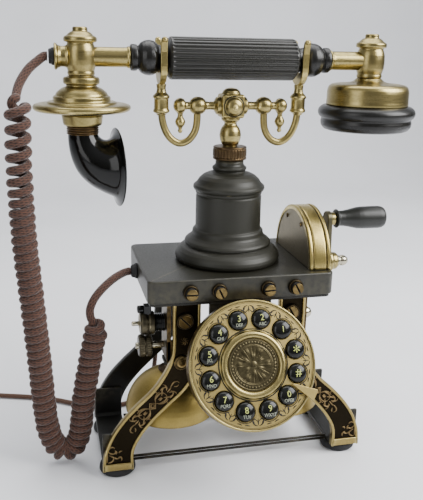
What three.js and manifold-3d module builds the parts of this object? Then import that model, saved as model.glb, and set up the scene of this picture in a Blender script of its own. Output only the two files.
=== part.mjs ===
// Skeleton table telephone with push buttons set in a round dial.
// Millimetres. X runs to the right along the handset, Y to the back, Z up from the table.
import * as THREE from 'three';
import Module from 'manifold-3d';

const wasm = await Module();
wasm.setup();

// ---------------------------------------------------------------- driving dimensions
const GAP = 0.3;                    // clearance left between pieces that rest on each other

const FOOT_RADIUS = 13, FOOT_HEIGHT = 6;
const FOOT_X = 85, FOOT_Y = 28;
const LEG_THICK = 5, LEG_FACE_Y = 41.5;         // outer face of the leg plates, front and rear
const LEG_TOP = 128.7;
const RAIL_WIDTH = 21, RAIL_THICK = 3, RAIL_X = 85.5, RAIL_TAB = 26;
const CROSSBAR_Y = 30, CROSSBAR_SIZE = 4;

const BOX_WIDTH = 130, BOX_DEPTH = 94, BOX_CORNER = 5;
const FLOOR_BOTTOM = 129, FLOOR_THICK = 2.2, FLOOR_INSET = 1.5;
const COVER_BOTTOM = FLOOR_BOTTOM + FLOOR_THICK + GAP, BOX_TOP = 147, WALL = 2.5;

const COLUMN_BOTTOM = BOX_TOP + GAP, COLUMN_TOP = 219;
const COLLAR_RADIUS = 11.8, COLLAR_HEIGHT = 9.4;
const STEM_RADIUS = 5, STEM_BOTTOM = 162;

const CUBE_HALF = 8, CUBE_Z = 256, HOOK_X = 48.5, ARM_RADIUS = 2.4;
const HANDSET_Z = 287, NECK_RADIUS = 8;
const FORK_INNER = 9.6, PRONG = 3.2, FORK_WIDTH = 4.4, FORK_TOP = 299;

const END_X = 101;                  // the two vertical ends of the handset stand at this X
const GRIP_RADIUS = 13.9, GRIP_HALF = 43.4;

const DIAL_Y = -75, DIAL_Z = 96.2, DIAL_TILT = 25, DIAL_BOSS_BACK = -39.3;
const DIAL_RADIUS = 43, DIAL_DEPTH = 12, DIAL_WALL = 1.6;
const BUTTON_RING = 30.4, BUTTON_RADIUS = 6.2, BUTTON_COUNT = 12, FIRST_BUTTON_DEG = 15;

const DRUM_X0 = 49, DRUM_X1 = 64.5, DRUM_Y = -3, DRUM_Z = 147, DRUM_RADIUS = 38;
const CRANK_Y = -7, CRANK_Z = 142.5, CRANK_THROW = 32.5;

const GONG_X = 41, GONG_RADIUS = 34, GONG_WALL = 1.6, GONG_RIM_Z = 30, GONG_TOP_Z = 64;
const RINGER_BAR_Z = 68, CLAPPER_Y = -12, CLAPPER_PIVOT_Z = 80;

const SIDE_Y = -22, SIDE_Z = 109;   // axis of the threaded bush on the left
const WHEEL_Z = 92.2, WHEEL_RADIUS = 8;

const CURLY_CORD = 5.8, CURLY_OUTER = 16.8, LINE_CORD = 4;

// ---------------------------------------------------------------- materials
function finish(colour, roughness, metalness) {
  return new THREE.MeshStandardMaterial({ color: colour, roughness, metalness });
}
const blackIron = () => finish(0x3c3a30, 0.55, 0.6);
const brass = () => finish(0xaa915a, 0.35, 0.9);
const bronze = () => finish(0x6b5a38, 0.4, 0.85);
const glossBlack = () => finish(0x101010, 0.15, 0.0);
const rubber = () => finish(0x181818, 0.8, 0.0);
const braid = () => finish(0x693c2d, 0.85, 0.0);
const boardGreen = () => finish(0x2d5a37, 0.6, 0.0);

// ---------------------------------------------------------------- geometry helpers
const radians = (degrees) => degrees * Math.PI / 180;
const group = new THREE.Group();

function add(name, geometry, material, parent = group) {
  const mesh = new THREE.Mesh(geometry, material);
  mesh.name = name;
  parent.add(mesh);
  return mesh;
}

// a turned piece about Z: profile is a list of [radius, height] from bottom to top
function turned(profile, sides = 20) {
  const points = profile.map(([r, z]) => new THREE.Vector2(r, z));
  return new THREE.LatheGeometry(points, sides).rotateX(Math.PI / 2);
}

// the same about X, heights running along +X
function turnedAlongX(profile, sides = 20) {
  return turned(profile, sides).rotateY(Math.PI / 2);
}

function block(x0, x1, y0, y1, z0, z1) {
  const geometry = new THREE.BoxGeometry(x1 - x0, y1 - y0, z1 - z0);
  return geometry.translate((x0 + x1) / 2, (y0 + y1) / 2, (z0 + z1) / 2);
}

// an outline [x, y] list pushed up along Z
function pushed(outline, height, curveSegments = 4) {
  const shape = outline instanceof THREE.Shape ? outline
    : new THREE.Shape(outline.map(([x, y]) => new THREE.Vector2(x, y)));
  return new THREE.ExtrudeGeometry(shape, { depth: height, bevelEnabled: false, curveSegments });
}

function roundedRectangle(width, depth, radius) {
  const w = width / 2 - radius, d = depth / 2 - radius, quarter = Math.PI / 2;
  const shape = new THREE.Shape();
  shape.absarc(w, d, radius, 0, quarter);
  shape.absarc(-w, d, radius, quarter, 2 * quarter);
  shape.absarc(-w, -d, radius, 2 * quarter, 3 * quarter);
  shape.absarc(w, -d, radius, 3 * quarter, 4 * quarter);
  shape.closePath();
  return shape;
}

// six times the volume inside the faces: negative when they point inwards
function signedVolume(points, index) {
  let sum = 0;
  for (let i = 0; i < index.length; i += 3) {
    const [a, b, c] = index.slice(i, i + 3).map(corner => points[corner]);
    sum += a.dot(b.clone().cross(c));
  }
  return sum;
}

// a closed body through rings of points; its two ends close on one centre point each
function ringBody(start, rings, end) {
  const sides = rings[0].length;
  const points = [start, ...rings.flat(), end];
  const index = [];
  const at = (ring, side) => 1 + ring * sides + (side % sides);
  for (let side = 0; side < sides; side++) {
    index.push(0, at(0, side + 1), at(0, side));
    index.push(points.length - 1, at(rings.length - 1, side), at(rings.length - 1, side + 1));
    for (let ring = 0; ring + 1 < rings.length; ring++) {
      index.push(at(ring, side), at(ring, side + 1), at(ring + 1, side + 1));
      index.push(at(ring, side), at(ring + 1, side + 1), at(ring + 1, side));
    }
  }
  if (signedVolume(points, index) < 0) index.reverse();
  const geometry = new THREE.BufferGeometry();
  geometry.setAttribute('position', new THREE.Float32BufferAttribute(points.flatMap(p => p.toArray()), 3));
  geometry.setIndex(index);
  geometry.computeVertexNormals();
  return geometry;
}

// a round rod along a smooth curve through the points
function rod(route, radius, sides, steps) {
  const curve = new THREE.CatmullRomCurve3(route.map(p => new THREE.Vector3(...p)), false, 'centripetal');
  const frames = curve.computeFrenetFrames(steps, false);
  const rings = [];
  for (let step = 0; step <= steps; step++) {
    const centre = curve.getPointAt(step / steps);
    const ring = [];
    for (let side = 0; side < sides; side++) {
      const turn = 2 * Math.PI * side / sides;
      const out = frames.normals[step].clone().multiplyScalar(Math.cos(turn) * radius);
      out.addScaledVector(frames.binormals[step], Math.sin(turn) * radius);
      ring.push(centre.clone().add(out));
    }
    rings.push(ring);
  }
  return ringBody(curve.getPointAt(0), rings, curve.getPointAt(1));
}

function toSolid(geometry) {
  const bare = geometry.clone();
  bare.deleteAttribute('normal');
  bare.deleteAttribute('uv');
  const merged = bare.index ? mergeByPosition(bare.toNonIndexed()) : mergeByPosition(bare);
  return new wasm.Manifold(new wasm.Mesh({ numProp: 3, ...merged }));
}

function mergeByPosition(loose) {
  const position = loose.getAttribute('position');
  const seen = new Map(), vertices = [], corners = [];
  for (let i = 0; i < position.count; i++) {
    const p = [position.getX(i), position.getY(i), position.getZ(i)];
    const key = p.map(value => Math.round(value * 1e4)).join();
    if (!seen.has(key)) {
      seen.set(key, vertices.length / 3);
      vertices.push(...p);
    }
    corners.push(seen.get(key));
  }
  const kept = [];
  for (let i = 0; i < corners.length; i += 3) {
    const [a, b, c] = corners.slice(i, i + 3);
    if (a !== b && b !== c && a !== c) kept.push(a, b, c);
  }
  return { vertProperties: new Float32Array(vertices), triVerts: new Uint32Array(kept) };
}

function fromSolid(solid) {
  const mesh = solid.getMesh();
  const geometry = new THREE.BufferGeometry();
  geometry.setAttribute('position', new THREE.Float32BufferAttribute(mesh.vertProperties, 3));
  geometry.setIndex(Array.from(mesh.triVerts));
  geometry.computeVertexNormals();
  return geometry;
}

const joined = (...geometries) => fromSolid(geometries.map(toSolid).reduce((all, next) => all.add(next)));
const cutBy = (body, ...tools) => fromSolid(
  tools.map(toSolid).reduce((left, tool) => left.subtract(tool), toSolid(body)));

// ---------------------------------------------------------------- stand: feet, legs, rails
// one leg seen from the front, foot out to +X: a straight column that swings out to the foot
const LEG_OUTER = [[47, 100], [48.5, 88], [54, 76], [62, 65], [73, 54.5], [83, 43.5], [90.5, 32], [95, 20]];
const LEG_INNER = [[74.5, 20], [69.5, 31], [61, 42], [50, 53], [39, 63.5], [31, 76], [28, 90]];
const LEG_FOOT = [74.8, 96.5], LEG_COLUMN = [28, 47];

function legOutline() {
  const bottom = FOOT_HEIGHT + GAP;
  const outer = [[LEG_COLUMN[1], LEG_TOP], ...LEG_OUTER, [LEG_FOOT[1], bottom]];
  const inner = [[LEG_FOOT[0], bottom], ...LEG_INNER, [LEG_COLUMN[0], LEG_TOP]];
  const smooth = (points) => new THREE.CatmullRomCurve3(
    points.map(([x, z]) => new THREE.Vector3(x, z, 0)), false, 'centripetal').getPoints(14);
  return [...smooth(outer), ...smooth(inner)].map(p => [p.x, p.y]);
}

function leg(sideX, sideY) {
  const geometry = pushed(legOutline(), LEG_THICK).rotateX(Math.PI / 2);
  geometry.translate(0, LEG_FACE_Y, 0);
  let solid = toSolid(geometry);
  if (sideX < 0) solid = solid.mirror([1, 0, 0]);
  if (sideY < 0) solid = solid.mirror([0, 1, 0]);
  return fromSolid(solid);
}

for (const [across, sideX] of [['left', -1], ['right', 1]]) {
  for (const [along, sideY] of [['front', -1], ['rear', 1]]) {
    add(`foot_${along}_${across}`, turned([[0, 0], [FOOT_RADIUS - 1, 0], [FOOT_RADIUS, 1.5],
      [FOOT_RADIUS, FOOT_HEIGHT - 1.5], [FOOT_RADIUS - 1, FOOT_HEIGHT], [0, FOOT_HEIGHT]], 14), rubber())
      .position.set(sideX * FOOT_X, sideY * FOOT_Y, 0);
    add(`leg_${along}_${across}`, leg(sideX, sideY), bronze());
  }
}

// two flat rails with turned-up ends, tied by two thin crossbars
function baseFrame() {
  const bottom = FOOT_HEIGHT + GAP;
  const end = LEG_FACE_Y - LEG_THICK - GAP;
  const pieces = [];
  for (const side of [-1, 1]) {
    const x0 = side * RAIL_X - RAIL_WIDTH / 2, x1 = x0 + RAIL_WIDTH;
    pieces.push(block(x0, x1, -end, end, bottom, bottom + RAIL_THICK));
    for (const y of [-end, end - RAIL_THICK]) {
      pieces.push(block(x0, x1, y, y + RAIL_THICK, bottom, bottom + RAIL_TAB));
    }
    const y0 = side * CROSSBAR_Y - CROSSBAR_SIZE / 2;
    pieces.push(block(-RAIL_X, RAIL_X, y0, y0 + CROSSBAR_SIZE, bottom + 0.5, bottom + CROSSBAR_SIZE));
  }
  return joined(...pieces);
}
add('base_frame', baseFrame(), blackIron());

// ---------------------------------------------------------------- box
function boxCover() {
  const outer = pushed(roundedRectangle(BOX_WIDTH, BOX_DEPTH, BOX_CORNER), BOX_TOP - COVER_BOTTOM, 4);
  const inner = pushed(roundedRectangle(BOX_WIDTH - 2 * WALL, BOX_DEPTH - 2 * WALL, BOX_CORNER - WALL),
    BOX_TOP - WALL - COVER_BOTTOM + 1, 3).translate(0, 0, -1);
  const shaftHole = turnedAlongX([[0, 0], [3.5, 0], [3.5, 12], [0, 12]], 14);
  shaftHole.translate(BOX_WIDTH / 2 - 8, CRANK_Y, CRANK_Z - COVER_BOTTOM);
  return cutBy(outer, inner, shaftHole).translate(0, 0, COVER_BOTTOM);
}
add('box_cover', boxCover(), blackIron());

const floorShape = roundedRectangle(BOX_WIDTH - 2 * FLOOR_INSET, BOX_DEPTH - 2 * FLOOR_INSET, BOX_CORNER);
add('box_floor', pushed(floorShape, FLOOR_THICK).translate(0, 0, FLOOR_BOTTOM), blackIron());
add('circuit_board', block(-48, 40, -30, 30, COVER_BOTTOM + 1, COVER_BOTTOM + 2.6), boardGreen());

// ---------------------------------------------------------------- column and its collar
add('column', turned([
  [33, COLUMN_BOTTOM], [38, COLUMN_BOTTOM], [39.5, 150], [38, 153.5], [33, 155.5], [30.5, 157.5],
  [27.2, 163], [25.3, 172], [24.6, 192], [24.6, 194], [25.8, 198.5], [24.4, 202.5], [20, 205.5],
  [12.5, 208.5], [10.6, 212], [10.4, COLUMN_TOP], [6, COLUMN_TOP], [6, 208], [17, 200], [21.5, 190],
  [22, 172], [27, 158], [33, 152], [33, COLUMN_BOTTOM]], 20), blackIron());
add('column_collar', turned([
  [6, COLUMN_TOP + GAP], [COLLAR_RADIUS - 1, COLUMN_TOP + GAP], [COLLAR_RADIUS, COLUMN_TOP + 1.2],
  [COLLAR_RADIUS, COLUMN_TOP + COLLAR_HEIGHT - 1], [COLLAR_RADIUS - 1, COLUMN_TOP + COLLAR_HEIGHT],
  [6, COLUMN_TOP + COLLAR_HEIGHT], [6, COLUMN_TOP + GAP]], 16), bronze());
add('hook_switch', block(-10, 10, -7, 7, BOX_TOP + GAP, STEM_BOTTOM - 2 * GAP), glossBlack());

// ---------------------------------------------------------------- cradle: post and two hooks
function cradlePost() {
  const stem = turned([[0, STEM_BOTTOM], [STEM_RADIUS, STEM_BOTTOM], [STEM_RADIUS, 229.5], [6, 230],
    [7.4, 236.5], [6, 241.5], [4.4, 243.5], [6.4, 247], [6.4, 249], [4, 250], [4, 262], [6, 264.5],
    [5.2, 266.8], [0, 268.2]], 16);
  const cube = block(-CUBE_HALF, CUBE_HALF, -CUBE_HALF, CUBE_HALF, CUBE_Z - CUBE_HALF, CUBE_Z + CUBE_HALF);
  const boss = turned([[0, 0], [6, 0], [6, 2], [3, 3.4], [0, 3.8]], 14).rotateX(Math.PI / 2);
  return joined(stem, cube, boss.translate(0, -CUBE_HALF + 0.2, CUBE_Z));
}
add('cradle_post', cradlePost(), brass());

// one hook, built on the +X side: a turned side arm, a hanging J and the fork above it
const J_ROUTE = [[23.6, 0, 256], [23.9, 0, 246], [26, 0, 237], [30, 0, 231.6], [35.5, 0, 229.8],
  [41, 0, 232], [45.5, 0, 238], [47.9, 0, 247], [HOOK_X, 0, 262]];

function forkOutline() {
  const low = 270, outer = FORK_INNER + PRONG, base = HANDSET_Z - NECK_RADIUS - 1.5;
  return [[-outer + 3, low], [outer - 3, low], [outer, low + 4], [outer, FORK_TOP - 4],
    [outer + 1.6, FORK_TOP], [FORK_INNER + 1.2, FORK_TOP], [FORK_INNER, FORK_TOP - 4],
    [FORK_INNER, base + 4], [FORK_INNER - 4, base], [-FORK_INNER + 4, base], [-FORK_INNER, base + 4],
    [-FORK_INNER, FORK_TOP - 4], [-FORK_INNER - 1.2, FORK_TOP], [-outer - 1.6, FORK_TOP],
    [-outer, FORK_TOP - 4], [-outer, low + 4]];
}

function hook() {
  const sideArm = turnedAlongX([[0, CUBE_HALF + GAP], [5.6, CUBE_HALF + GAP], [5.6, 11], [3.6, 11.5],
    [3, 18], [5, 20.5], [5.6, 23.6], [5, 26.5], [2.6, 29], [2.6, 31.5], [4.4, 33], [4.9, 35.5],
    [4, 38.5], [0, 40.4]], 10).translate(0, 0, CUBE_Z);
  const pendant = turned([[0, 237.6], [1.6, 238.6], [1.2, 241], [3.2, 244], [2.6, 247], [1.8, 249],
    [1.8, 255], [0, 256]], 8).translate(35.5, 0, 0);
  const collar = turned([[0, 251], [3.4, 251], [5.4, 253.5], [5.4, 262], [3.6, 264.5], [3.2, 271],
    [0, 271.5]], 10).translate(HOOK_X, 0, 0);
  const fork = pushed(forkOutline(), FORK_WIDTH).rotateX(Math.PI / 2).rotateZ(Math.PI / 2);
  fork.translate(HOOK_X - FORK_WIDTH / 2, 0, 0);
  return toSolid(joined(sideArm, rod(J_ROUTE, ARM_RADIUS, 6, 12), pendant, collar, fork));
}
add('cradle_hook_right', fromSolid(hook()), brass());
add('cradle_hook_left', fromSolid(hook().mirror([1, 0, 0])), brass());

// ---------------------------------------------------------------- handset
// black grip with a turned ball and ferrule at each end, symmetric about its middle
const GRIP_END = [[GRIP_RADIUS - 1, GRIP_HALF], [NECK_RADIUS + 1.5, GRIP_HALF + 1], [NECK_RADIUS, 46],
  [NECK_RADIUS, 51], [10.4, 53], [11.2, 57.5], [9.2, 62.5], [7.4, 64], [8.4, 65.5], [8.4, 69], [0, 69.4]];
const gripHalf = [[GRIP_RADIUS, 0], [GRIP_RADIUS, GRIP_HALF - 1], ...GRIP_END];
const gripProfile = [...gripHalf.slice(1).reverse().map(([r, x]) => [r, -x]), ...gripHalf.slice(1)];
add('handset_grip', turnedAlongX(gripProfile, 18), glossBlack()).position.set(0, 0, HANDSET_Z);

function endPiece(tubeLength, low) {
  const tube = turnedAlongX([[0, 69.4 + GAP], [6.3, 69.4 + GAP], [6.3, END_X], [0, END_X]], 16);
  const upright = turned([[0, low], [8.6, low], [8.6, -8.5], [10, -3.6], [10, 3.6], [8.6, 8.4], [10.6, 9],
    [10.6, 12], [7.8, 13], [7.8, 15.3], [4.2, 16], [4.4, 17.4], [0, 18.4]], 16).translate(END_X, 0, 0);
  const parts = [tube, upright];
  if (tubeLength > 0) {
    const stub = turnedAlongX([[0, END_X], [8, END_X], [8, END_X + 9.4], [5.6, END_X + 10],
      [5.6, END_X + 13], [7.6, END_X + 14], [7.6, END_X + 17], [3.6, END_X + 17.5],
      [3.6, END_X + tubeLength], [0, END_X + tubeLength]], 16);
    parts.push(stub);
  }
  return toSolid(joined(...parts));
}
const CORD_STUB = 20.5;
add('receiver_arm', fromSolid(endPiece(0, -11.5)), brass()).position.set(0, 0, HANDSET_Z);
add('transmitter_arm', fromSolid(endPiece(CORD_STUB, -11.5).mirror([1, 0, 0])), brass())
  .position.set(0, 0, HANDSET_Z);

const transmitterProfile = [[0, 243.2], [10, 243.2], [12.4, 243.8], [13.4, 249.4], [13.4, 252.2],
  [30, 252.4], [31.8, 254], [31.8, 255.8], [30.2, 257.2], [22.4, 257.6], [22, 259], [18.6, 259.4], [18.4, 262],
  [15.6, 265.4], [11.6, 267.8], [9.8, 269], [11.6, 270.4], [11.6, 273.8], [9, 275.2], [0, 275.2]];
add('transmitter_cup', turned(transmitterProfile, 22), brass()).position.set(-END_X, 0, 0);

// the mouth horn: each ring stands on an inner and an outer point of the bend, seen from the front
const HORN_INNER = [[-91.6, 242.9], [-91.6, 239.5], [-90.6, 236.4], [-88.2, 234.2], [-85.4, 233.5],
  [-82.8, 234.4], [-80.9, 236.4], [-79.3, 241.4]];
const HORN_OUTER = [[-110.5, 242.9], [-110.8, 233], [-109.2, 222], [-104.8, 211.6], [-97.2, 203.4],
  [-88.4, 198], [-81.8, 194.8], [-78.8, 188.4]];
const HORN_SIDES = 16, HORN_WALL = 1.8;
const HORN_SWING = 0.12;                        // the mouth turns back by this slope, the throat not at all

function hornRing(inner, outer, wall, swing) {
  const middle = new THREE.Vector3((inner[0] + outer[0]) / 2, 0, (inner[1] + outer[1]) / 2);
  const across = new THREE.Vector3(inner[0] - outer[0], 0, inner[1] - outer[1]).multiplyScalar(0.5);
  const radius = across.length() - wall;
  across.normalize();
  return Array.from({ length: HORN_SIDES }, (_, side) => {
    const turn = 2 * Math.PI * side / HORN_SIDES;
    return middle.clone().addScaledVector(across, Math.cos(turn) * radius)
      .add(new THREE.Vector3(-swing * Math.sin(turn) * radius, Math.sin(turn) * radius, 0));
  });
}

function mouthHorn() {
  const rings = wall => HORN_INNER.map((point, i) => hornRing(point, HORN_OUTER[i], wall,
    HORN_SWING * (i / (HORN_INNER.length - 1)) ** 2));
  const outside = rings(0);
  const inside = rings(HORN_WALL).slice(1).reverse();
  const centreOf = (ring) => ring.reduce((sum, p) => sum.add(p), new THREE.Vector3())
    .multiplyScalar(1 / ring.length);
  return ringBody(centreOf(outside[0]), [...outside, ...inside], centreOf(inside.at(-1)));
}
add('mouth_horn', mouthHorn(), glossBlack());

add('receiver_shell', turned([[0, 256.3], [30.2, 256.3], [30.6, 258], [30.2, 266.5], [28, 270],
  [22, 272], [12, 272.6], [8.6, 273.4], [8.6, 275.2], [0, 275.2]], 22), brass()).position.set(END_X, 0, 0);
add('ear_cap', turned([[0, 249], [8, 245], [20, 243], [24, 240.4], [30, 238.6], [32.8, 241], [33.2, 246],
  [35, 247.5], [35.8, 251.5], [34.6, 255], [32, 256], [0, 256]], 22), glossBlack())
  .position.set(END_X, 0, 0);

// ---------------------------------------------------------------- dial and its buttons
const dial = new THREE.Group();
dial.position.set(0, DIAL_Y, DIAL_Z);
dial.rotation.x = radians(90 - DIAL_TILT);
group.add(dial);

add('dial_housing', turned([[0, -DIAL_DEPTH], [DIAL_RADIUS - 1, -DIAL_DEPTH],
  [DIAL_RADIUS, 1 - DIAL_DEPTH], [DIAL_RADIUS, 0], [DIAL_RADIUS - 0.8, 0.6], [DIAL_RADIUS - 1.6, 0.6],
  [DIAL_RADIUS - 1.6, DIAL_WALL - DIAL_DEPTH], [0, DIAL_WALL - DIAL_DEPTH]], 30), brass(), dial);

const buttonPlace = (i) => {
  const turn = radians(FIRST_BUTTON_DEG + 360 / BUTTON_COUNT * i);
  return [BUTTON_RING * Math.cos(turn), BUTTON_RING * Math.sin(turn)];
};

function dialFace() {
  const shape = new THREE.Shape();
  shape.absarc(0, 0, DIAL_RADIUS - 1.6 - GAP, 0, 2 * Math.PI);
  for (let i = 0; i < BUTTON_COUNT; i++) {
    const hole = new THREE.Path();
    hole.absarc(...buttonPlace(i), BUTTON_RADIUS + 0.4, 0, 2 * Math.PI);
    shape.holes.push(hole);
  }
  return pushed(shape, 1.4, 6).translate(0, 0, -1.6);
}
add('dial_face', dialFace(), brass(), dial);
add('dial_medallion', turned([[0, GAP], [22, GAP], [22, 1.2], [20.5, 2.6], [18.6, 2.6], [17.4, 1.6],
  [0, 1.6]], 20), bronze(), dial);

const buttonNames = ['3', '2', '1', 'star', 'hash', '0', '9', '8', '7', '6', '5', '4'];
buttonNames.forEach((label, i) => {
  // the first name stands at 105 degrees and the rest follow clockwise
  const place = buttonPlace(3 - i);
  add(`button_${label}`, turned([[0, -4.6], [7.3, -4.6], [7.3, -3.2], [BUTTON_RADIUS, -3.2],
    [BUTTON_RADIUS, 0.8], [5, 2.4], [2.6, 3.3], [0, 3.6]], 10), glossBlack(), dial)
    .position.set(place[0], place[1], 0);
});

const STOP_DEG = -30;
add('finger_stop', pushed([[29, 0], [36, -1.2], [41, -2.6], [45.6, -5], [46.6, 0], [45.6, 5], [41, 2.6],
  [36, 1.2]], 1.6).translate(0, 0, 0.6 + GAP), brass(), dial).rotation.z = radians(STOP_DEG);

function dialBracket() {
  const plate = block(-22, 22, -LEG_FACE_Y + 1, -LEG_FACE_Y + 4, 70, FLOOR_BOTTOM - GAP);
  const boss = turned([[0, DIAL_BOSS_BACK], [8, DIAL_BOSS_BACK], [8, -DIAL_DEPTH - GAP], [0, -DIAL_DEPTH - GAP]], 14);
  boss.rotateX(dial.rotation.x).translate(0, DIAL_Y, DIAL_Z);
  return joined(plate, boss);
}
add('dial_bracket', dialBracket(), blackIron());

// ---------------------------------------------------------------- ringer: two gongs and a clapper
function gong() {
  return turned([[GONG_RADIUS - GONG_WALL, GONG_RIM_Z], [GONG_RADIUS, GONG_RIM_Z], [GONG_RADIUS, GONG_RIM_Z + 2],
    [33, 38.4], [30.4, 45], [26, 51.4], [20, 56.6], [13.4, 60.2], [9, 61.8], [8, GONG_TOP_Z], [0, GONG_TOP_Z],
    [0, GONG_TOP_Z - GONG_WALL], [7.4, 60.4], [12.6, 58.6], [18.9, 55.2], [24.7, 50.4], [28.9, 44.4],
    [31.4, 38], [GONG_RADIUS - GONG_WALL, GONG_RIM_Z + 2], [GONG_RADIUS - GONG_WALL, GONG_RIM_Z]], 18);
}
add('gong_left', gong(), brass()).position.set(-GONG_X, 0, 0);
add('gong_right', gong(), brass()).position.set(GONG_X, 0, 0);

function ringerFrame() {
  const bar = block(-GONG_X - 6, GONG_X + 6, -6, 6, RINGER_BAR_Z, RINGER_BAR_Z + 3);
  const post = block(-6, 6, 2, 6, RINGER_BAR_Z, FLOOR_BOTTOM - GAP);
  const coils = block(-14, 14, -8, 5, CLAPPER_PIVOT_Z - 4, CLAPPER_PIVOT_Z + 18);
  const ear = block(-5, 5, CLAPPER_Y - 5, CLAPPER_Y - 3.5, CLAPPER_PIVOT_Z - 4, CLAPPER_PIVOT_Z + 10);
  const earRoot = block(-5, 5, CLAPPER_Y - 5, -7, CLAPPER_PIVOT_Z + 4, CLAPPER_PIVOT_Z + 10);
  const pegs = [-GONG_X, GONG_X].map(x => turned([[0, GONG_TOP_Z + GAP], [4, GONG_TOP_Z + GAP],
    [4, RINGER_BAR_Z + 1], [0, RINGER_BAR_Z + 1]], 12).translate(x, 0, 0));
  return joined(bar, post, coils, ear, earRoot, ...pegs);
}
add('ringer_frame', ringerFrame(), blackIron());

function clapper() {
  const shaft = turned([[0, 28.3], [3, 29.5], [4.2, 32.5], [3, 35.5], [1.1, 36.5],
    [1.1, CLAPPER_PIVOT_Z - 4], [2.8, CLAPPER_PIVOT_Z - 3], [2.8, CLAPPER_PIVOT_Z + 2.6],
    [0, CLAPPER_PIVOT_Z + 3]], 10);
  return shaft.translate(0, CLAPPER_Y, 0);
}
add('clapper', clapper(), brass());

// ---------------------------------------------------------------- hand generator and its crank
function generatorDrum() {
  const full = turnedAlongX([[0, DRUM_X0], [DRUM_RADIUS, DRUM_X0], [DRUM_RADIUS, DRUM_X0 + 2.6],
    [DRUM_RADIUS - 0.8, DRUM_X0 + 3.2], [DRUM_RADIUS - 0.8, DRUM_X1 - 3.2], [DRUM_RADIUS, DRUM_X1 - 2.6],
    [DRUM_RADIUS, DRUM_X1], [0, DRUM_X1]], 40).translate(0, DRUM_Y, DRUM_Z);
  return cutBy(full, block(DRUM_X0 - 5, DRUM_X1 + 5, -60, 60, 80, BOX_TOP + GAP));
}
add('generator_drum', generatorDrum(), brass());

const ARM_X = 72.5;
function crankArm() {
  const shaft = turnedAlongX([[0, 58], [3, 58], [3, 66], [6.4, 66], [6.4, 72], [8, 73], [8, 78],
    [6, 82.5], [3.4, 84], [3.8, 86.5], [3, 90], [0, 92]], 12);
  const outline = new THREE.Shape();
  outline.absarc(0, 0, 7.6, Math.PI, 2 * Math.PI);
  outline.absarc(0, CRANK_THROW, 5.8, 0, Math.PI);
  outline.closePath();
  const arm = pushed(outline, 3.4, 8).rotateX(Math.PI / 2).rotateZ(Math.PI / 2).translate(ARM_X, 0, 0);
  const pin = turnedAlongX([[0, ARM_X + 1], [4.4, ARM_X + 1], [4.4, 79], [2, 79], [2, 96], [0, 96]], 12);
  return joined(shaft, arm, pin.translate(0, 0, CRANK_THROW)).translate(0, CRANK_Y, CRANK_Z);
}
add('crank_arm', crankArm(), blackIron());

add('crank_handle', turnedAlongX([[2.4, 79.4], [6.4, 79.4], [6.8, 81], [5.6, 82.6], [5.8, 86], [7.6, 94],
  [8.2, 99], [8.2, 116], [6.6, 119.6], [0, 120.6], [0, 97], [2.4, 97], [2.4, 79.4]], 14), glossBlack())
  .position.set(0, CRANK_Y, CRANK_Z + CRANK_THROW);

// ---------------------------------------------------------------- side brackets and volume wheel
function sideBracket(stubLength) {
  const back = -LEG_FACE_Y + LEG_THICK + GAP;
  const plate = block(47.5, 50.5, back, -14, 84, FLOOR_BOTTOM - GAP);
  const foot = block(30, 50.5, back, back + 3, 84, 100);
  const stub = turnedAlongX([[0, 48], [6.3, 48], [6.3, 50.5 + stubLength], [0, 50.5 + stubLength]], 14);
  return [plate, foot, stub.translate(0, SIDE_Y, SIDE_Z)];
}

function leftBracket() {
  const body = turnedAlongX([[0, 57], [8.2, 57.5], [8.2, 66], [7, 67.4], [2, 67.6], [2, 73], [0, 73]], 16);
  const axle = turnedAlongX([[0, 48], [2.4, 48], [2.4, 70], [0, 70]], 10).translate(0, SIDE_Y, WHEEL_Z);
  return fromSolid(toSolid(joined(...sideBracket(8), body.translate(0, SIDE_Y, SIDE_Z), axle))
    .mirror([1, 0, 0]));
}

function rightBracket() {
  const acorn = turnedAlongX([[0, 50], [4.8, 50], [4.8, 54.5], [4, 57], [2, 59], [0, 59.4]], 12);
  return joined(...sideBracket(1), acorn.translate(0, SIDE_Y, SIDE_Z));
}
add('side_bracket_left', leftBracket(), bronze());
add('side_bracket_right', rightBracket(), bronze());
add('volume_wheel', turnedAlongX([[2.8, -68.4], [WHEEL_RADIUS - 1, -68.4], [WHEEL_RADIUS, -67.4],
  [WHEEL_RADIUS, -60], [WHEEL_RADIUS - 1, -59], [2.8, -59], [2.8, -68.4]], 16), bronze())
  .position.set(0, SIDE_Y, WHEEL_Z);

// ---------------------------------------------------------------- cords
const BASE_EXIT = [-BOX_WIDTH / 2 - 4.5, 7, 138], HANDSET_EXIT = [-END_X - CORD_STUB, 0, HANDSET_Z];
add('curly_gland', turnedAlongX([[0, BASE_EXIT[0] + 0.5], [4.4, BASE_EXIT[0] + 0.5],
  [5.2, -BOX_WIDTH / 2 - 1.6], [5.2, -BOX_WIDTH / 2 - GAP], [0, -BOX_WIDTH / 2 - GAP]], 14), rubber())
  .position.set(0, BASE_EXIT[1], BASE_EXIT[2]);

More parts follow.
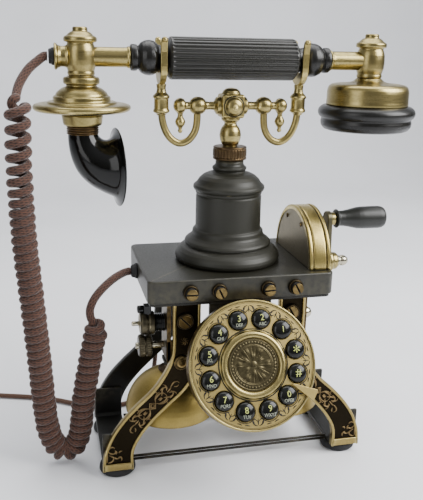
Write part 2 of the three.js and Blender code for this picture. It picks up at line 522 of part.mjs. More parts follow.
const LEAD_TOP = [[HANDSET_EXIT[0] - 0.6, 0, HANDSET_Z], [-124.4, -0.3, 286.7], [-128.4, -2.4, 283.8], [-134, -6, 279], [-139.5, -12, 271],
  [-142, -19, 263.5], [-141.6, -24, 259.4]];
const COIL_ROUTE = [[-141.4, -26, 256], [-142, -26, 236], [-142.4, -25.5, 216], [-141.6, -24.5, 173],
  [-139, -22, 132], [-136, -19.5, 90], [-133.4, -17, 54], [-130, -15.5, 28], [-121.5, -14, 13.6],
  [-112, -15, 27], [-107.6, -16.5, 52], [-102.6, -17.5, 78], [-99, -18, 96], [-97, -18, 104.6]];
const LEAD_BASE = [[-97.4, -18, 108.2], [-100.4, -17.5, 113.4], [-100.6, -16.5, 120], [-97, -14.5, 127],
  [-91, -10.5, 132.4], [-83.6, -4.5, 136.4], [-76.6, 2.6, 137.8], [-72.6, 6, 138], [BASE_EXIT[0] - 0.6, BASE_EXIT[1], 138]];
add('curly_lead_top', rod(LEAD_TOP, CURLY_CORD / 2, 8, 7), braid());
add('curly_coil', rod(COIL_ROUTE, CURLY_OUTER / 2, 8, 26), braid());
add('curly_lead_base', rod(LEAD_BASE, CURLY_CORD / 2, 8, 10), braid());

const LINE_EXIT = [-38, BOX_DEPTH / 2 + 4.5, 138];
add('line_gland', turned([[0, GAP], [5, GAP], [5, 1.6], [3.6, 4.3], [0, 4.3]], 12).rotateX(-Math.PI / 2), rubber())
  .position.set(LINE_EXIT[0], BOX_DEPTH / 2, LINE_EXIT[2]);

const LINE_Z = LINE_CORD / 2 + 0.2;
const LINE_ROUTE = [[-38, LINE_EXIT[1] + 0.6, 138], [-38, 54.4, 137.6], [-38, 58.4, 134], [-38.6, 63, 122], [-39.6, 65, 100],
  [-41, 66, 70], [-43, 67, 36], [-46, 67.6, 14], [-54, 67, 4.4], [-68, 62.5, LINE_Z], [-84, 59.5, LINE_Z],
  [-98, 62.5, LINE_Z], [-112, 71, LINE_Z], [-128, 81, LINE_Z], [-148, 89.5, LINE_Z], [-172, 97, LINE_Z],
  [-192, 103.6, LINE_Z]];
const COIL_CENTRE = [-228, 104], COIL_INNER = 17.5, COIL_OUTER = 31.5, COIL_HEIGHT = 17;
add('line_cord', rod(LINE_ROUTE, LINE_CORD / 2, 8, 36), braid());
add('line_coil', turned([[COIL_INNER, 0.2], [COIL_OUTER, 0.2], [COIL_OUTER, COIL_HEIGHT],
  [COIL_INNER, COIL_HEIGHT], [COIL_INNER, 0.2]], 24), braid()).position.set(...COIL_CENTRE, 0);
add('line_plug', block(-234, -222, 140, 162, 0, 7.6), finish(0xd8d8d0, 0.2, 0));

// ---------------------------------------------------------------- one shared origin
// the origin stands on the table under the middle of the telephone, cords not counted
const CORD_NODES = ['curly_lead_top', 'curly_coil', 'curly_lead_base', 'line_cord', 'line_coil', 'line_plug'];
group.updateMatrixWorld(true);
const bounds = new THREE.Box3();
group.traverse((piece) => {
  if (piece.isMesh && !CORD_NODES.includes(piece.name)) bounds.expandByObject(piece, true);
});
const middle = bounds.getCenter(new THREE.Vector3());
group.position.set(-middle.x, -middle.y, -bounds.min.z);

export default group;
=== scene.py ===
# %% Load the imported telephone
import math

import bmesh
import bpy
import numpy as np
from mathutils import Matrix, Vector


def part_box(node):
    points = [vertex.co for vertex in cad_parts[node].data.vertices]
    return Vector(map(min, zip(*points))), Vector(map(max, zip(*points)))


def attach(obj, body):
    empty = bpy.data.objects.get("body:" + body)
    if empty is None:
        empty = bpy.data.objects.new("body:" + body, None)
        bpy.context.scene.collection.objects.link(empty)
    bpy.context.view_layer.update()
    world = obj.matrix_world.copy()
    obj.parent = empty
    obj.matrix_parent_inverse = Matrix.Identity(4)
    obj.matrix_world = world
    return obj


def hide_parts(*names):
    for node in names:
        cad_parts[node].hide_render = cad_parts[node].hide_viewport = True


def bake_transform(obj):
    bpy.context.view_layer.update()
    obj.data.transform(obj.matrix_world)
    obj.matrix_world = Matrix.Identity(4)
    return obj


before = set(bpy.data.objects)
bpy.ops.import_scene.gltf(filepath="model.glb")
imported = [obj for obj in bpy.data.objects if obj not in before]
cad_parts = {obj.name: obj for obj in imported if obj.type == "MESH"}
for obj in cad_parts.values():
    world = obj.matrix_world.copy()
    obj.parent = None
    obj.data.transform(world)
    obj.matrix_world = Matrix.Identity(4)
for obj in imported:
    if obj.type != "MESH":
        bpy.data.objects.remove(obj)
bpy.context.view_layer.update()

# %% [markdown]
# ## One place to measure from
# A turned telephone is drawn from its own axis: the column stands in the middle, and everything
# else is so far left, right, in front of or above it. The column's CAD box gives that axis, so
# every size below can be written in millimetres from the column's centre and the table top, and
# `at` turns it into metres in the shared frame.

# %% From drawing millimetres to the frame's metres
MM = 0.001
column_low, column_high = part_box("column")
AXIS = np.array([(column_low.x + column_high.x) / 2, (column_low.y + column_high.y) / 2, 0.0])


def at(points):
    """Drawing points in millimetres -> frame points in metres: scale by MM, then add the axis."""
    return np.asarray(points, float) * MM + AXIS


print("column axis stands at", AXIS.round(4))

# %% [markdown]
# ## Camera
# The camera stands half a metre away, left of the front and just above the handset, looking down
# at the dial. It is set before any piece is made, because the coiled part of the line cord has to
# lie outside what it sees. Its aim is three turns: round the object, down, and a slight roll.

# %% Camera
LENS_MM, SENSOR = 51.077, 36.0
CAMERA_PLACE = [-128.0, -479.7, 297.3]
YAW, PITCH, ROLL = -13.635, 16.285, 1.222

camera_data = bpy.data.cameras.new("camera")
camera_data.sensor_width = SENSOR
camera_data.sensor_fit = "AUTO"
camera_data.lens = LENS_MM
camera_data.clip_start = 0.01
camera = bpy.data.objects.new("camera", camera_data)
bpy.context.scene.collection.objects.link(camera)
bpy.context.scene.camera = camera

yaw, pitch, roll = np.radians([YAW, PITCH, ROLL])
back = np.array([math.sin(yaw) * math.cos(pitch), -math.cos(yaw) * math.cos(pitch), math.sin(pitch)])
level = np.array([math.cos(yaw), math.sin(yaw), 0.0])
upright = np.cross(back, level)
right = math.cos(roll) * level + math.sin(roll) * upright
up = math.cos(roll) * upright - math.sin(roll) * level
turn = np.eye(4)
turn[:3, :3] = np.column_stack([right, up, back])
turn[:3, 3] = at(CAMERA_PLACE)
camera.matrix_world = Matrix(turn.tolist())
print("lens", round(camera_data.lens, 1), "mm, at", at(CAMERA_PLACE).round(3))

# %% [markdown]
# ## Surfaces from arrays
# Almost every piece here was made on a lathe or bent from bar, so two surfaces cover most of it:
# a profile turned about an axis, and a ring carried along a path. Both are grids of points worked
# out as whole arrays; `grid_mesh` joins neighbours in the grid into faces.

# %% Grid to mesh


def grid_mesh(name, points, wrap_rows=False, wrap_columns=True, close_ends=True, along=None):
    """Points shaped (rows, columns, 3) -> a mesh whose quads join each point to its neighbours.
    wrap_columns joins the last column to the first, and wrap_rows the last row to the first.
    close_ends fills the first and last row with a fan to their centre point. `along`, one number a
    row, makes a UV map: u is that number, v runs from 0 to 1 round the columns."""
    points = np.asarray(points, float)
    rows, columns = points.shape[:2]
    number = np.arange(rows * columns).reshape(rows, columns)
    if wrap_columns:
        number = np.hstack([number, number[:, :1]])
    if wrap_rows:
        number = np.vstack([number, number[:1]])
    quads = np.stack([number[:-1, :-1], number[:-1, 1:], number[1:, 1:], number[1:, :-1]], -1)
    faces = quads.reshape(-1, 4).tolist()
    vertices = points.reshape(-1, 3)
    if close_ends and wrap_columns and not wrap_rows:
        ends = np.array([points[0].mean(0), points[-1].mean(0)])
        first, last = len(vertices), len(vertices) + 1
        vertices = np.vstack([vertices, ends])
        faces += np.stack([number[0, 1:], number[0, :-1], np.full(columns, first)], -1).tolist()
        faces += np.stack([number[-1, :-1], number[-1, 1:], np.full(columns, last)], -1).tolist()
    mesh = bpy.data.meshes.new(name)
    mesh.from_pydata(vertices.tolist(), [], faces)
    if along is not None:
        u, v = np.asarray(along, float), np.arange(columns + 1) / columns
        row, column = np.meshgrid(np.arange(rows - 1), np.arange(columns), indexing="ij")
        corners = [(row, column), (row, column + 1), (row + 1, column + 1), (row + 1, column)]
        quad_uv = np.stack([np.stack([u[i], v[j]], -1) for i, j in corners], 2).reshape(-1, 2)
        end_uv = np.repeat([[u[0], 0.5], [u[-1], 0.5]], 3 * columns, 0)
        layer = mesh.uv_layers.new(name="weave")
        layer.data.foreach_set("uv", np.vstack([quad_uv, end_uv]).ravel())
    return mesh


def place_piece(name, mesh, body, material, replaces=(), slot=None, smooth=True):
    """Makes the object, turns its faces outwards, shades it, gives it its material and its body."""
    outward(mesh)
    piece = bpy.data.objects.new(name, mesh)
    bpy.context.scene.collection.objects.link(piece)
    if smooth:
        mesh.shade_smooth()
    else:
        mesh.shade_flat()
    mesh.materials.append(material)
    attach(piece, body)
    if replaces:
        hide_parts(*replaces)
    print(f"{name}: {len(mesh.polygons)} faces on {body}")
    return piece


def outward(mesh):
    """Six times the signed volume is the sum of a . (b x c) over the triangles; if it is negative
    the faces point inwards, and all of them are flipped."""
    mesh.calc_loop_triangles()
    corner = np.empty(len(mesh.loop_triangles) * 3, np.int32)
    mesh.loop_triangles.foreach_get("vertices", corner)
    place = np.empty(len(mesh.vertices) * 3)
    mesh.vertices.foreach_get("co", place)
    a, b, c = place.reshape(-1, 3)[corner.reshape(-1, 3)].transpose(1, 0, 2)
    if np.einsum("ij,ij->i", a - a.mean(0), np.cross(b - a.mean(0), c - a.mean(0))).sum() < 0:
        mesh.flip_normals()


# %% Turned pieces


def eased(profile, radius=0.4, steps=4):
    """Rounds each inner corner of a profile: the corner P becomes the quadratic curve from a point
    on the way in, through P as its control point, to a point on the way out. Each cut is at most
    `radius` or 45% of the shorter neighbour's length."""
    profile = np.asarray(profile, float)
    rounded = [profile[:1]]
    t = np.linspace(0, 1, steps)[:, None]
    for before, corner, after in zip(profile[:-2], profile[1:-1], profile[2:]):
        to_before, to_after = before - corner, after - corner
        gap_before, gap_after = np.linalg.norm(to_before), np.linalg.norm(to_after)
        cut = min(radius, 0.45 * gap_before, 0.45 * gap_after)
        start = corner + to_before / gap_before * cut
        end = corner + to_after / gap_after * cut
        rounded.append((1 - t) ** 2 * start + 2 * t * (1 - t) * corner + t ** 2 * end)
    return np.vstack(rounded + [profile[-1:]])


AXES = {"Z": np.eye(3), "X": np.array([[0, 0, 1], [0, 1, 0], [-1, 0, 0]]).astype(float),
        "Y": np.array([[1, 0, 0], [0, 0, -1], [0, 1, 0]]).astype(float)}


def turned_points(profile, centre, axis="Z", sides=72, wave=None):
    """A profile of (radius, height) carried round an axis: x = r cos a, y = r sin a, z = height,
    then turned so that height runs along the axis, then moved to centre. `wave` may change the
    radius with height and angle, as flutes and knurls do."""
    radius, height = np.asarray(profile, float).T
    angle = np.linspace(0, 2 * np.pi, sides, endpoint=False)
    r = np.repeat(radius[:, None], sides, 1)
    if wave:
        r = r + wave(height[:, None], angle[None, :], r)
    points = np.stack([r * np.cos(angle), r * np.sin(angle), np.repeat(height[:, None], sides, 1)], -1)
    turn = axis if isinstance(axis, np.ndarray) else AXES[axis]
    return at(points @ turn.T + np.asarray(centre, float))


def turned(name, profile, centre, body, material, axis="Z", sides=72, radius=0.4, wave=None, ring=False,
           **more):
    """A turned piece. Its profile is closed by a flat end at each end of the line, or, for a ring,
    by joining its last point to its first."""
    shape = eased(profile, radius) if radius else np.asarray(profile, float)
    points = turned_points(shape, centre, axis, sides, wave)
    return place_piece(name, grid_mesh(name, points, wrap_rows=ring), body, material, **more)


# %% Bent rods


def smooth_route(points, count):
    """A Catmull-Rom curve through the points, resampled to `count` points an equal length apart."""
    p = np.asarray(points, float)
    p = np.vstack([2 * p[0] - p[1], p, 2 * p[-1] - p[-2]])
    t = np.linspace(0, 1, 24, endpoint=False)[:, None]
    parts = [0.5 * (2 * b + (c - a) * t + (2 * a - 5 * b + 4 * c - d) * t ** 2
                    + (3 * b - a - 3 * c + d) * t ** 3)
             for a, b, c, d in zip(p[:-3], p[1:-2], p[2:-1], p[3:])]
    dense = np.vstack(parts + [p[-2:-1]])
    along = np.concatenate([[0], np.cumsum(np.linalg.norm(np.diff(dense, axis=0), axis=1))])
    wanted = np.linspace(0, along[-1], count)
    return np.stack([np.interp(wanted, along, dense[:, k]) for k in range(dense.shape[1])], -1)


def carried_frames(path, first=(0, 1, 0)):
    """Two directions across the path at each point, carried along it without twisting: each one
    is the last one with its part along the new direction taken off."""
    ahead = np.gradient(path, axis=0)
    ahead /= np.linalg.norm(ahead, axis=1)[:, None]
    side = np.empty_like(ahead)
    current = np.asarray(first, float)
    for i, direction in enumerate(ahead):
        current = current - direction * current.dot(direction)
        current = current / np.linalg.norm(current)
        side[i] = current
    return side, np.cross(ahead, side)


def swept_points(path, section, first=(0, 1, 0), scale=1.0):
    """A section of (u, v) points carried along the path: point = path + scale (u side + v other),
    in millimetres. scale may change along the path."""
    side, other = carried_frames(path, first)
    section = np.asarray(section, float)
    size = np.broadcast_to(np.asarray(scale, float), (len(path),))[:, None, None]
    ring = section[None, :, :1] * side[:, None] + section[None, :, 1:] * other[:, None]
    return path[:, None] + size * ring


def circle(radius, sides=16):
    """Points (r cos a, r sin a) once round."""
    angle = np.linspace(0, 2 * np.pi, sides, endpoint=False)
    return radius * np.stack([np.cos(angle), np.sin(angle)], -1)


def rod_points(path, radius, sides=16, first=(0, 1, 0)):
    """A round ring carried along the path; radius may change along it."""
    return swept_points(path, circle(1.0, sides), first, radius)


def many_grids(name, grids, **options):
    """Several closed grids as one mesh: each becomes a mesh, and their arrays are put end to end."""
    meshes = [grid_mesh("part", grid, **options) for grid in grids]
    vertices, faces, start = [], [], 0
    for mesh in meshes:
        place = np.empty(len(mesh.vertices) * 3)
        mesh.vertices.foreach_get("co", place)
        vertices.append(place.reshape(-1, 3))
        faces += [[start + v for v in face.vertices] for face in mesh.polygons]
        start += len(mesh.vertices)
        bpy.data.meshes.remove(mesh)
    joined = bpy.data.meshes.new(name)
    joined.from_pydata(np.vstack(vertices).tolist(), [], faces)
    return joined


def rod(name, route, radius, body, material, count=60, sides=16, first=(0, 1, 0), **more):
    """A round bar along a smooth route through the points."""
    points = at(rod_points(smooth_route(route, count), radius, sides, first))
    return place_piece(name, grid_mesh(name, points), body, material, **more)


# %% Flat plates


def plate_mesh(name, outline, thickness, turn=None, centre=(0, 0, 0)):
    """An outline of (x, y) points pushed up by the thickness: a bottom face, a top face and a ring
    of side quads, turned and then moved to centre."""
    outline = np.asarray(outline, float)
    count = len(outline)
    low = np.column_stack([outline, np.zeros(count)])
    high = np.column_stack([outline, np.full(count, thickness)])
    points = np.vstack([low, high])
    if turn is not None:
        points = points @ np.asarray(turn, float).T
    ring = np.arange(count)
    following = np.roll(ring, -1)
    sides = np.stack([ring, following, following + count, ring + count], -1).tolist()
    faces = [ring[::-1].tolist(), (ring + count).tolist()] + sides
    mesh = bpy.data.meshes.new(name)
    mesh.from_pydata(at(points + np.asarray(centre, float)).tolist(), [], faces)
    return mesh


def bevelled(piece, width_mm, segments=3):
    """Rounds the piece's sharp edges; flat faces stay flat in the shading."""
    edge = piece.modifiers.new("edge", "BEVEL")
    edge.width = width_mm * MM
    edge.segments = segments
    edge.limit_method = "ANGLE"
    edge.angle_limit = math.radians(35)
    edge.harden_normals = True
    return piece


def rounded_rectangle(width, depth, radius, steps=8):
    """Four quarter circles joined by straight sides, anticlockwise from the right."""
    angle = np.linspace(0, np.pi / 2, steps)
    corners = [(1, 1), (-1, 1), (-1, -1), (1, -1)]
    parts = []
    for quarter, (sx, sy) in enumerate(corners):
        a = angle + quarter * np.pi / 2
        centre = np.array([sx * (width / 2 - radius), sy * (depth / 2 - radius)])
        parts.append(centre + radius * np.stack([np.cos(a), np.sin(a)], -1))
    return np.vstack(parts)


def box_mesh(name, low, high):
    """A rectangular block between two corners, in drawing millimetres."""
    low, high = np.asarray(low, float), np.asarray(high, float)
    outline = [(low[0], low[1]), (high[0], low[1]), (high[0], high[1]), (low[0], high[1])]
    return plate_mesh(name, outline, high[2] - low[2], centre=(0, 0, low[2]))


def plate(name, outline, thickness, body, material, edge, turn=None, centre=(0, 0, 0), **more):
    """A piece cut from plate, its edges rounded by `edge` millimetres."""
    mesh = plate_mesh(name, outline, thickness, turn, centre)
    return bevelled(place_piece(name, mesh, body, material, smooth=False, **more), edge)


def block(name, low, high, body, material, edge, segments=3, **more):
    """A rectangular piece between two corners, its edges rounded by `edge` millimetres."""
    piece = place_piece(name, box_mesh(name, low, high), body, material, smooth=False, **more)
    return bevelled(piece, edge, segments)


# Turns for a plate that is drawn as (y, z) and stands across the telephone
ACROSS = [[0, 0, 1], [1, 0, 0], [0, 1, 0]]
SIDES = ((-1, "left"), (1, "right"))
CORNERS = [(side_x, side_y, f"{along}_{across}") for side_y, along in ((-1, "front"), (1, "rear"))
           for side_x, across in SIDES]
print("surface helpers ready")

# %% [markdown]
# ## Finishes
# The telephone has few materials, but each is uneven: brass that was toned dark and rubbed back,
# lacquer with a soft sheen, gloss black, rubber, woven cord. The unevenness is made once, as shader
# node groups with named inputs. A group only puts out colours, masks, values and normals; the
# Principled shader stays in each material, with its own constant numbers on its own sockets.

# %% Small helpers for node trees


def linear(red, green, blue):
    """A 0-255 screen colour -> the linear colour that shaders work in."""
    c = np.array([red, green, blue]) / 255.0
    return tuple(np.where(c <= 0.04045, c / 12.92, ((c + 0.055) / 1.055) ** 2.4)) + (1.0,)


def new_group(name, inputs, outputs):
    """A shader group with its sockets: inputs as (name, kind, default), outputs as (name, kind)."""
    tree = bpy.data.node_groups.new(name, "ShaderNodeTree")
    for title, kind, default in inputs:
        socket = tree.interface.new_socket(title, in_out="INPUT", socket_type="NodeSocket" + kind)
        if default is not None:
            socket.default_value = default
    for title, kind in outputs:
        tree.interface.new_socket(title, in_out="OUTPUT", socket_type="NodeSocket" + kind)
    return tree, tree.nodes.new("NodeGroupInput"), tree.nodes.new("NodeGroupOutput")


def add_node(tree, kind, settings=(), **values):
    """A node with its settings, and its input sockets set to a value or linked from a socket."""
    node = tree.nodes.new("ShaderNode" + kind)
    for key, value in dict(settings).items():
        setattr(node, key, value)
    for key, value in values.items():
        name = key.replace("_", " ")
        socket = node.inputs[int(key[1:])] if key[0] == "i" and key[1:].isdigit() else node.inputs[name]
        if isinstance(value, bpy.types.NodeSocket):
            tree.links.new(value, socket)
        else:
            socket.default_value = value
    return node


def maths(tree, operation, a, b=None, clamp=False):
    """One Math node; its result socket."""
    values = {"i0": a} if b is None else {"i0": a, "i1": b}
    return add_node(tree, "Math", {"operation": operation, "use_clamp": clamp}, **values).outputs[0]


def ranged(tree, value, low, high, to_low=0.0, to_high=1.0):
    """Map Range: low..high becomes to_low..to_high, held at the ends."""
    return add_node(tree, "MapRange", {"clamp": True}, i0=value, i1=low, i2=high, i3=to_low,
                    i4=to_high).outputs[0]


def mixed(tree, amount, a, b):
    """A colour between a and b."""
    node = add_node(tree, "Mix", {"data_type": "RGBA"})
    for socket, value in zip((node.inputs[0], node.inputs[6], node.inputs[7]), (amount, a, b)):
        if isinstance(value, bpy.types.NodeSocket):
            tree.links.new(value, socket)
        else:
            socket.default_value = value
    return node.outputs[2]


# %% The patina group: cloudy tone, fine grain and brush lines


def build_patina():
    """Tone = 0.6 broad noise + 0.4 fine noise, sharpened. Colour runs from Dark to Bright with it.
    Roughness runs the other way. Height adds the fine noise to noise drawn out along one axis, as
    a brush or lathe tool leaves."""
    tree, given, result = new_group(
        "patina",
        [("Place", "Vector", None), ("Bright", "Color", (0.6, 0.45, 0.2, 1)),
         ("Dark", "Color", (0.2, 0.15, 0.07, 1)), ("Cloud Scale", "Float", 45.0),
         ("Contrast", "Float", 0.25), ("Stretch", "Vector", (1, 1, 1)), ("Smooth", "Float", 0.25),
         ("Rough", "Float", 0.45)],
        [("Color", "Color"), ("Roughness", "Float"), ("Height", "Float")])
    cloud = add_node(tree, "TexNoise", Vector=given.outputs["Place"],
                     Scale=given.outputs["Cloud Scale"], Detail=5.0, Roughness=0.6)
    grain = add_node(tree, "TexNoise", Vector=given.outputs["Place"], Scale=900.0, Detail=3.0)
    drawn = add_node(tree, "Mapping", Vector=given.outputs["Place"], Scale=given.outputs["Stretch"])
    lines = add_node(tree, "TexNoise", Vector=drawn.outputs[0], Scale=1500.0, Detail=2.0)
    tone = maths(tree, "ADD", maths(tree, "MULTIPLY", cloud.outputs[0], 0.6),
                 maths(tree, "MULTIPLY", grain.outputs[0], 0.4))
    low = maths(tree, "SUBTRACT", 0.5, given.outputs["Contrast"])
    high = maths(tree, "ADD", 0.5, given.outputs["Contrast"])
    tone = add_node(tree, "MapRange", {"clamp": True}, i0=tone, i1=low, i2=high).outputs[0]
    tree.links.new(mixed(tree, tone, given.outputs["Dark"], given.outputs["Bright"]), result.inputs["Color"])
    rough = add_node(tree, "MapRange", {"clamp": True}, i0=tone, i1=0.0, i2=1.0,
                     i3=given.outputs["Rough"], i4=given.outputs["Smooth"]).outputs[0]
    rough = maths(tree, "ADD", rough, ranged(tree, lines.outputs[0], 0.3, 0.7, -0.05, 0.05))
    tree.links.new(rough, result.inputs["Roughness"])
    height = maths(tree, "ADD", maths(tree, "MULTIPLY", grain.outputs[0], 0.4),
                   maths(tree, "MULTIPLY", lines.outputs[0], 0.6))
    tree.links.new(height, result.inputs["Height"])
    return tree


patina = build_patina()

# %% The rubbed edge mask: bright where a corner sticks out and the grain lets it


def build_rubbed():
    """Mask = how far Pointiness is over Start, spread over Width, times noise that breaks it up."""
    tree, given, result = new_group(
        "rubbed_edge",
        [("Place", "Vector", None), ("Pointiness", "Float", 0.5), ("Start", "Float", 0.52),
         ("Width", "Float", 0.06)],
        [("Mask", "Float")])
    patches = add_node(tree, "TexNoise", Vector=given.outputs["Place"], Scale=260.0, Detail=4.0)
    end = maths(tree, "ADD", given.outputs["Start"], given.outputs["Width"])
    sharp = add_node(tree, "MapRange", {"clamp": True}, i0=given.outputs["Pointiness"],
                     i1=given.outputs["Start"], i2=end).outputs[0]
    broken = ranged(tree, patches.outputs[0], 0.35, 0.6, 0.15, 1.0)
    tree.links.new(maths(tree, "MULTIPLY", sharp, broken), result.inputs["Mask"])
    return tree


rubbed_edge = build_rubbed()

# %% The braid group: two sets of yarns crossing round a cord


def build_braid():
    """On the cord's own UV map u is millimetres along and v is once round. Yarns lie where
    n v + u / pitch and n v - u / pitch are near a whole number; over and under change places on a
    checkerboard of the two. Height is the taller yarn, Shade is dark in the gaps."""
    tree, given, result = new_group(
        "braid",
        [("UV", "Vector", None), ("Yarns", "Float", 12.0), ("Pitch", "Float", 6.0)],
        [("Shade", "Float"), ("Height", "Float"), ("Yarn", "Float")])
    split = add_node(tree, "SeparateXYZ", i0=given.outputs["UV"])
    around = maths(tree, "MULTIPLY", split.outputs[1], given.outputs["Yarns"])
    along = maths(tree, "DIVIDE", split.outputs[0], given.outputs["Pitch"])
    waves = []
    for sign in ("ADD", "SUBTRACT"):
        phase = maths(tree, "MULTIPLY", maths(tree, sign, around, along), 2 * math.pi)
        waves.append(maths(tree, "COSINE", phase))
    swap = maths(tree, "COSINE", maths(tree, "MULTIPLY", along, 2 * math.pi))
    over = maths(tree, "ADD", waves[0], maths(tree, "MULTIPLY", swap, 0.35))
    under = maths(tree, "SUBTRACT", waves[1], maths(tree, "MULTIPLY", swap, 0.35))
    height = maths(tree, "MAXIMUM", over, under)
    tree.links.new(ranged(tree, height, -0.6, 1.1), result.inputs["Height"])
    tree.links.new(ranged(tree, height, -0.5, 0.7), result.inputs["Shade"])
    tree.links.new(maths(tree, "GREATER_THAN", over, under), result.inputs["Yarn"])
    return tree


braid_weave = build_braid()
print("groups:", [g.name for g in bpy.data.node_groups])

# %% Materials from the groups


def use_group(tree, group, **values):
    """A node that runs a group, its inputs set to a value or linked from a socket."""
    node = tree.nodes.new("ShaderNodeGroup")
    node.node_tree = group
    for key, value in values.items():
        socket = node.inputs[key.replace("_", " ")]
        if isinstance(value, bpy.types.NodeSocket):
            tree.links.new(value, socket)
        else:
            socket.default_value = value
    return node


def blank(name):
    """A material with only its Principled shader; returns the material, its tree and the shader."""
    material = bpy.data.materials.new(name)
    material.use_nodes = True
    shader = material.node_tree.nodes["Principled BSDF"]
    return material, material.node_tree, shader


def object_place(tree):
    """The point's place on its own object, which here is its place in the frame."""
    return tree.nodes.new("ShaderNodeTexCoord").outputs["Object"]


def bumped(tree, height, shader, distance_mm, strength=1.0):
    """Feeds a height into the shader's normal through a Bump node, in millimetres."""
    bump = add_node(tree, "Bump", Strength=strength, Distance=distance_mm * MM, Height=height)
    tree.links.new(bump.outputs[0], shader.inputs["Normal"])


def patinated(name, bright, dark, smooth=0.25, rough=0.45, cloud=45.0, contrast=0.25,
              stretch=(1, 1, 1), metallic=1.0, bump_mm=0.015, rub=None, coat=0.0, specular=0.5):
    """A metal or lacquer with the patina group. rub is the colour that shows on rubbed corners."""
    material, tree, shader = blank(name)
    place = object_place(tree)
    tones = use_group(tree, patina, Place=place, Bright=linear(*bright), Dark=linear(*dark),
                      Cloud_Scale=cloud, Contrast=contrast, Stretch=stretch, Smooth=smooth, Rough=rough)
    colour = tones.outputs["Color"]
    if rub is not None:
        corner = tree.nodes.new("ShaderNodeNewGeometry").outputs["Pointiness"]
        mask = use_group(tree, rubbed_edge, Place=place, Pointiness=corner).outputs["Mask"]
        colour = mixed(tree, mask, colour, linear(*rub))
    tree.links.new(colour, shader.inputs["Base Color"])
    tree.links.new(tones.outputs["Roughness"], shader.inputs["Roughness"])
    shader.inputs["Metallic"].default_value = metallic
    shader.inputs["Specular IOR Level"].default_value = specular
    shader.inputs["Coat Weight"].default_value = coat
    shader.inputs["Coat Roughness"].default_value = 0.15
    bumped(tree, tones.outputs["Height"], shader, bump_mm)
    return material


brass = patinated("antique_brass", (176, 160, 104), (104, 90, 54), 0.26, 0.42, cloud=55, contrast=0.3,
                  rub=(218, 200, 132))
turned_brass = patinated("turned_brass", (180, 165, 110), (112, 98, 60), 0.24, 0.38, cloud=40,
                         contrast=0.3, stretch=(0.05, 0.05, 6), rub=(222, 204, 138))
rail_brass = patinated("drum_brass", (192, 174, 108), (138, 120, 68), 0.26, 0.4,
                       stretch=(6, 0.06, 0.06), rub=(226, 210, 148))
dial_brass = patinated("dial_brass", (194, 174, 112), (160, 139, 82), 0.34, 0.5, cloud=30,
                       contrast=0.35, stretch=(0.05, 6, 6), metallic=0.9)
rim_brass = patinated("dial_rim", (124, 104, 62), (74, 58, 34), 0.26, 0.42, rub=(176, 152, 98))
bronze = patinated("dark_bronze", (58, 50, 36), (28, 24, 18), 0.3, 0.5, cloud=35, contrast=0.3,
                   rub=(96, 80, 52))
collar_bronze = patinated("collar_bronze", (100, 82, 58), (54, 42, 30), 0.3, 0.5, rub=(136, 112, 76))
scroll_gold = patinated("scroll_gold", (160, 138, 98), (92, 74, 48), 0.3, 0.5, cloud=120,
                        contrast=0.35)
rim_gold = patinated("leg_rim", (172, 154, 98), (118, 100, 56), 0.24, 0.42, cloud=60, contrast=0.35,
                     rub=(214, 198, 140))
medal_bronze = patinated("medal_bronze", (96, 88, 64), (40, 35, 24), 0.3, 0.5, cloud=70,
                         rub=(150, 136, 102))
screw_brass = patinated("screw_brass", (100, 86, 56), (48, 40, 26), 0.26, 0.44, cloud=160,
                        contrast=0.3, rub=(170, 144, 92))
lacquer = patinated("olive_lacquer", (29, 28, 19), (25, 24, 16), 0.38, 0.46, cloud=28, contrast=0.5,
                    metallic=0.1, bump_mm=0.02, rub=(64, 60, 44))
black_iron = patinated("black_iron", (26, 25, 21), (15, 14, 12), 0.35, 0.5, cloud=40, contrast=0.3,
                       metallic=0.4, rub=(54, 50, 38))
# Dark for the engraved lines on the dial; elsewhere painted shade: slot bottoms, the boss ring, the drum
# grooves and the rings round the dial's raised ring.
engraving_and_shade_dark = patinated("engraving_and_shade_dark", (24, 20, 14), (12, 10, 7), 0.5, 0.7, metallic=0.2)
nickel = patinated("nickel", (206, 200, 180), (150, 142, 118), 0.14, 0.26, cloud=120)
gloss_black = patinated("gloss_black", (13, 13, 11), (7, 7, 6), 0.08, 0.16, cloud=30, metallic=0.0,
                        bump_mm=0.004, specular=0.3)
satin_black = patinated("satin_black", (22, 21, 18), (13, 12, 10), 0.26, 0.38, cloud=30, metallic=0.0,
                        bump_mm=0.01, rub=(40, 38, 32), specular=0.4)
handle_black = patinated("handle_black", (26, 27, 22), (19, 20, 16), 0.36, 0.5, cloud=30,
                         metallic=0.1, bump_mm=0.02)
rubber = patinated("rubber", (26, 26, 26), (15, 15, 15), 0.6, 0.8, cloud=80, metallic=0.0,
                   bump_mm=0.05)
button_black = patinated("button_black", (20, 21, 18), (11, 11, 10), 0.12, 0.22, metallic=0.0,
                         bump_mm=0.004, specular=0.3)
figure_green = patinated("figure_green", (186, 192, 104), (158, 164, 84), 0.4, 0.6, metallic=0.0)
figure_pale = patinated("figure_pale", (166, 170, 150), (130, 134, 116), 0.4, 0.6, metallic=0.0)
board_green = patinated("board_green", (34, 84, 52), (22, 60, 38), 0.4, 0.6, cloud=90, metallic=0.0)


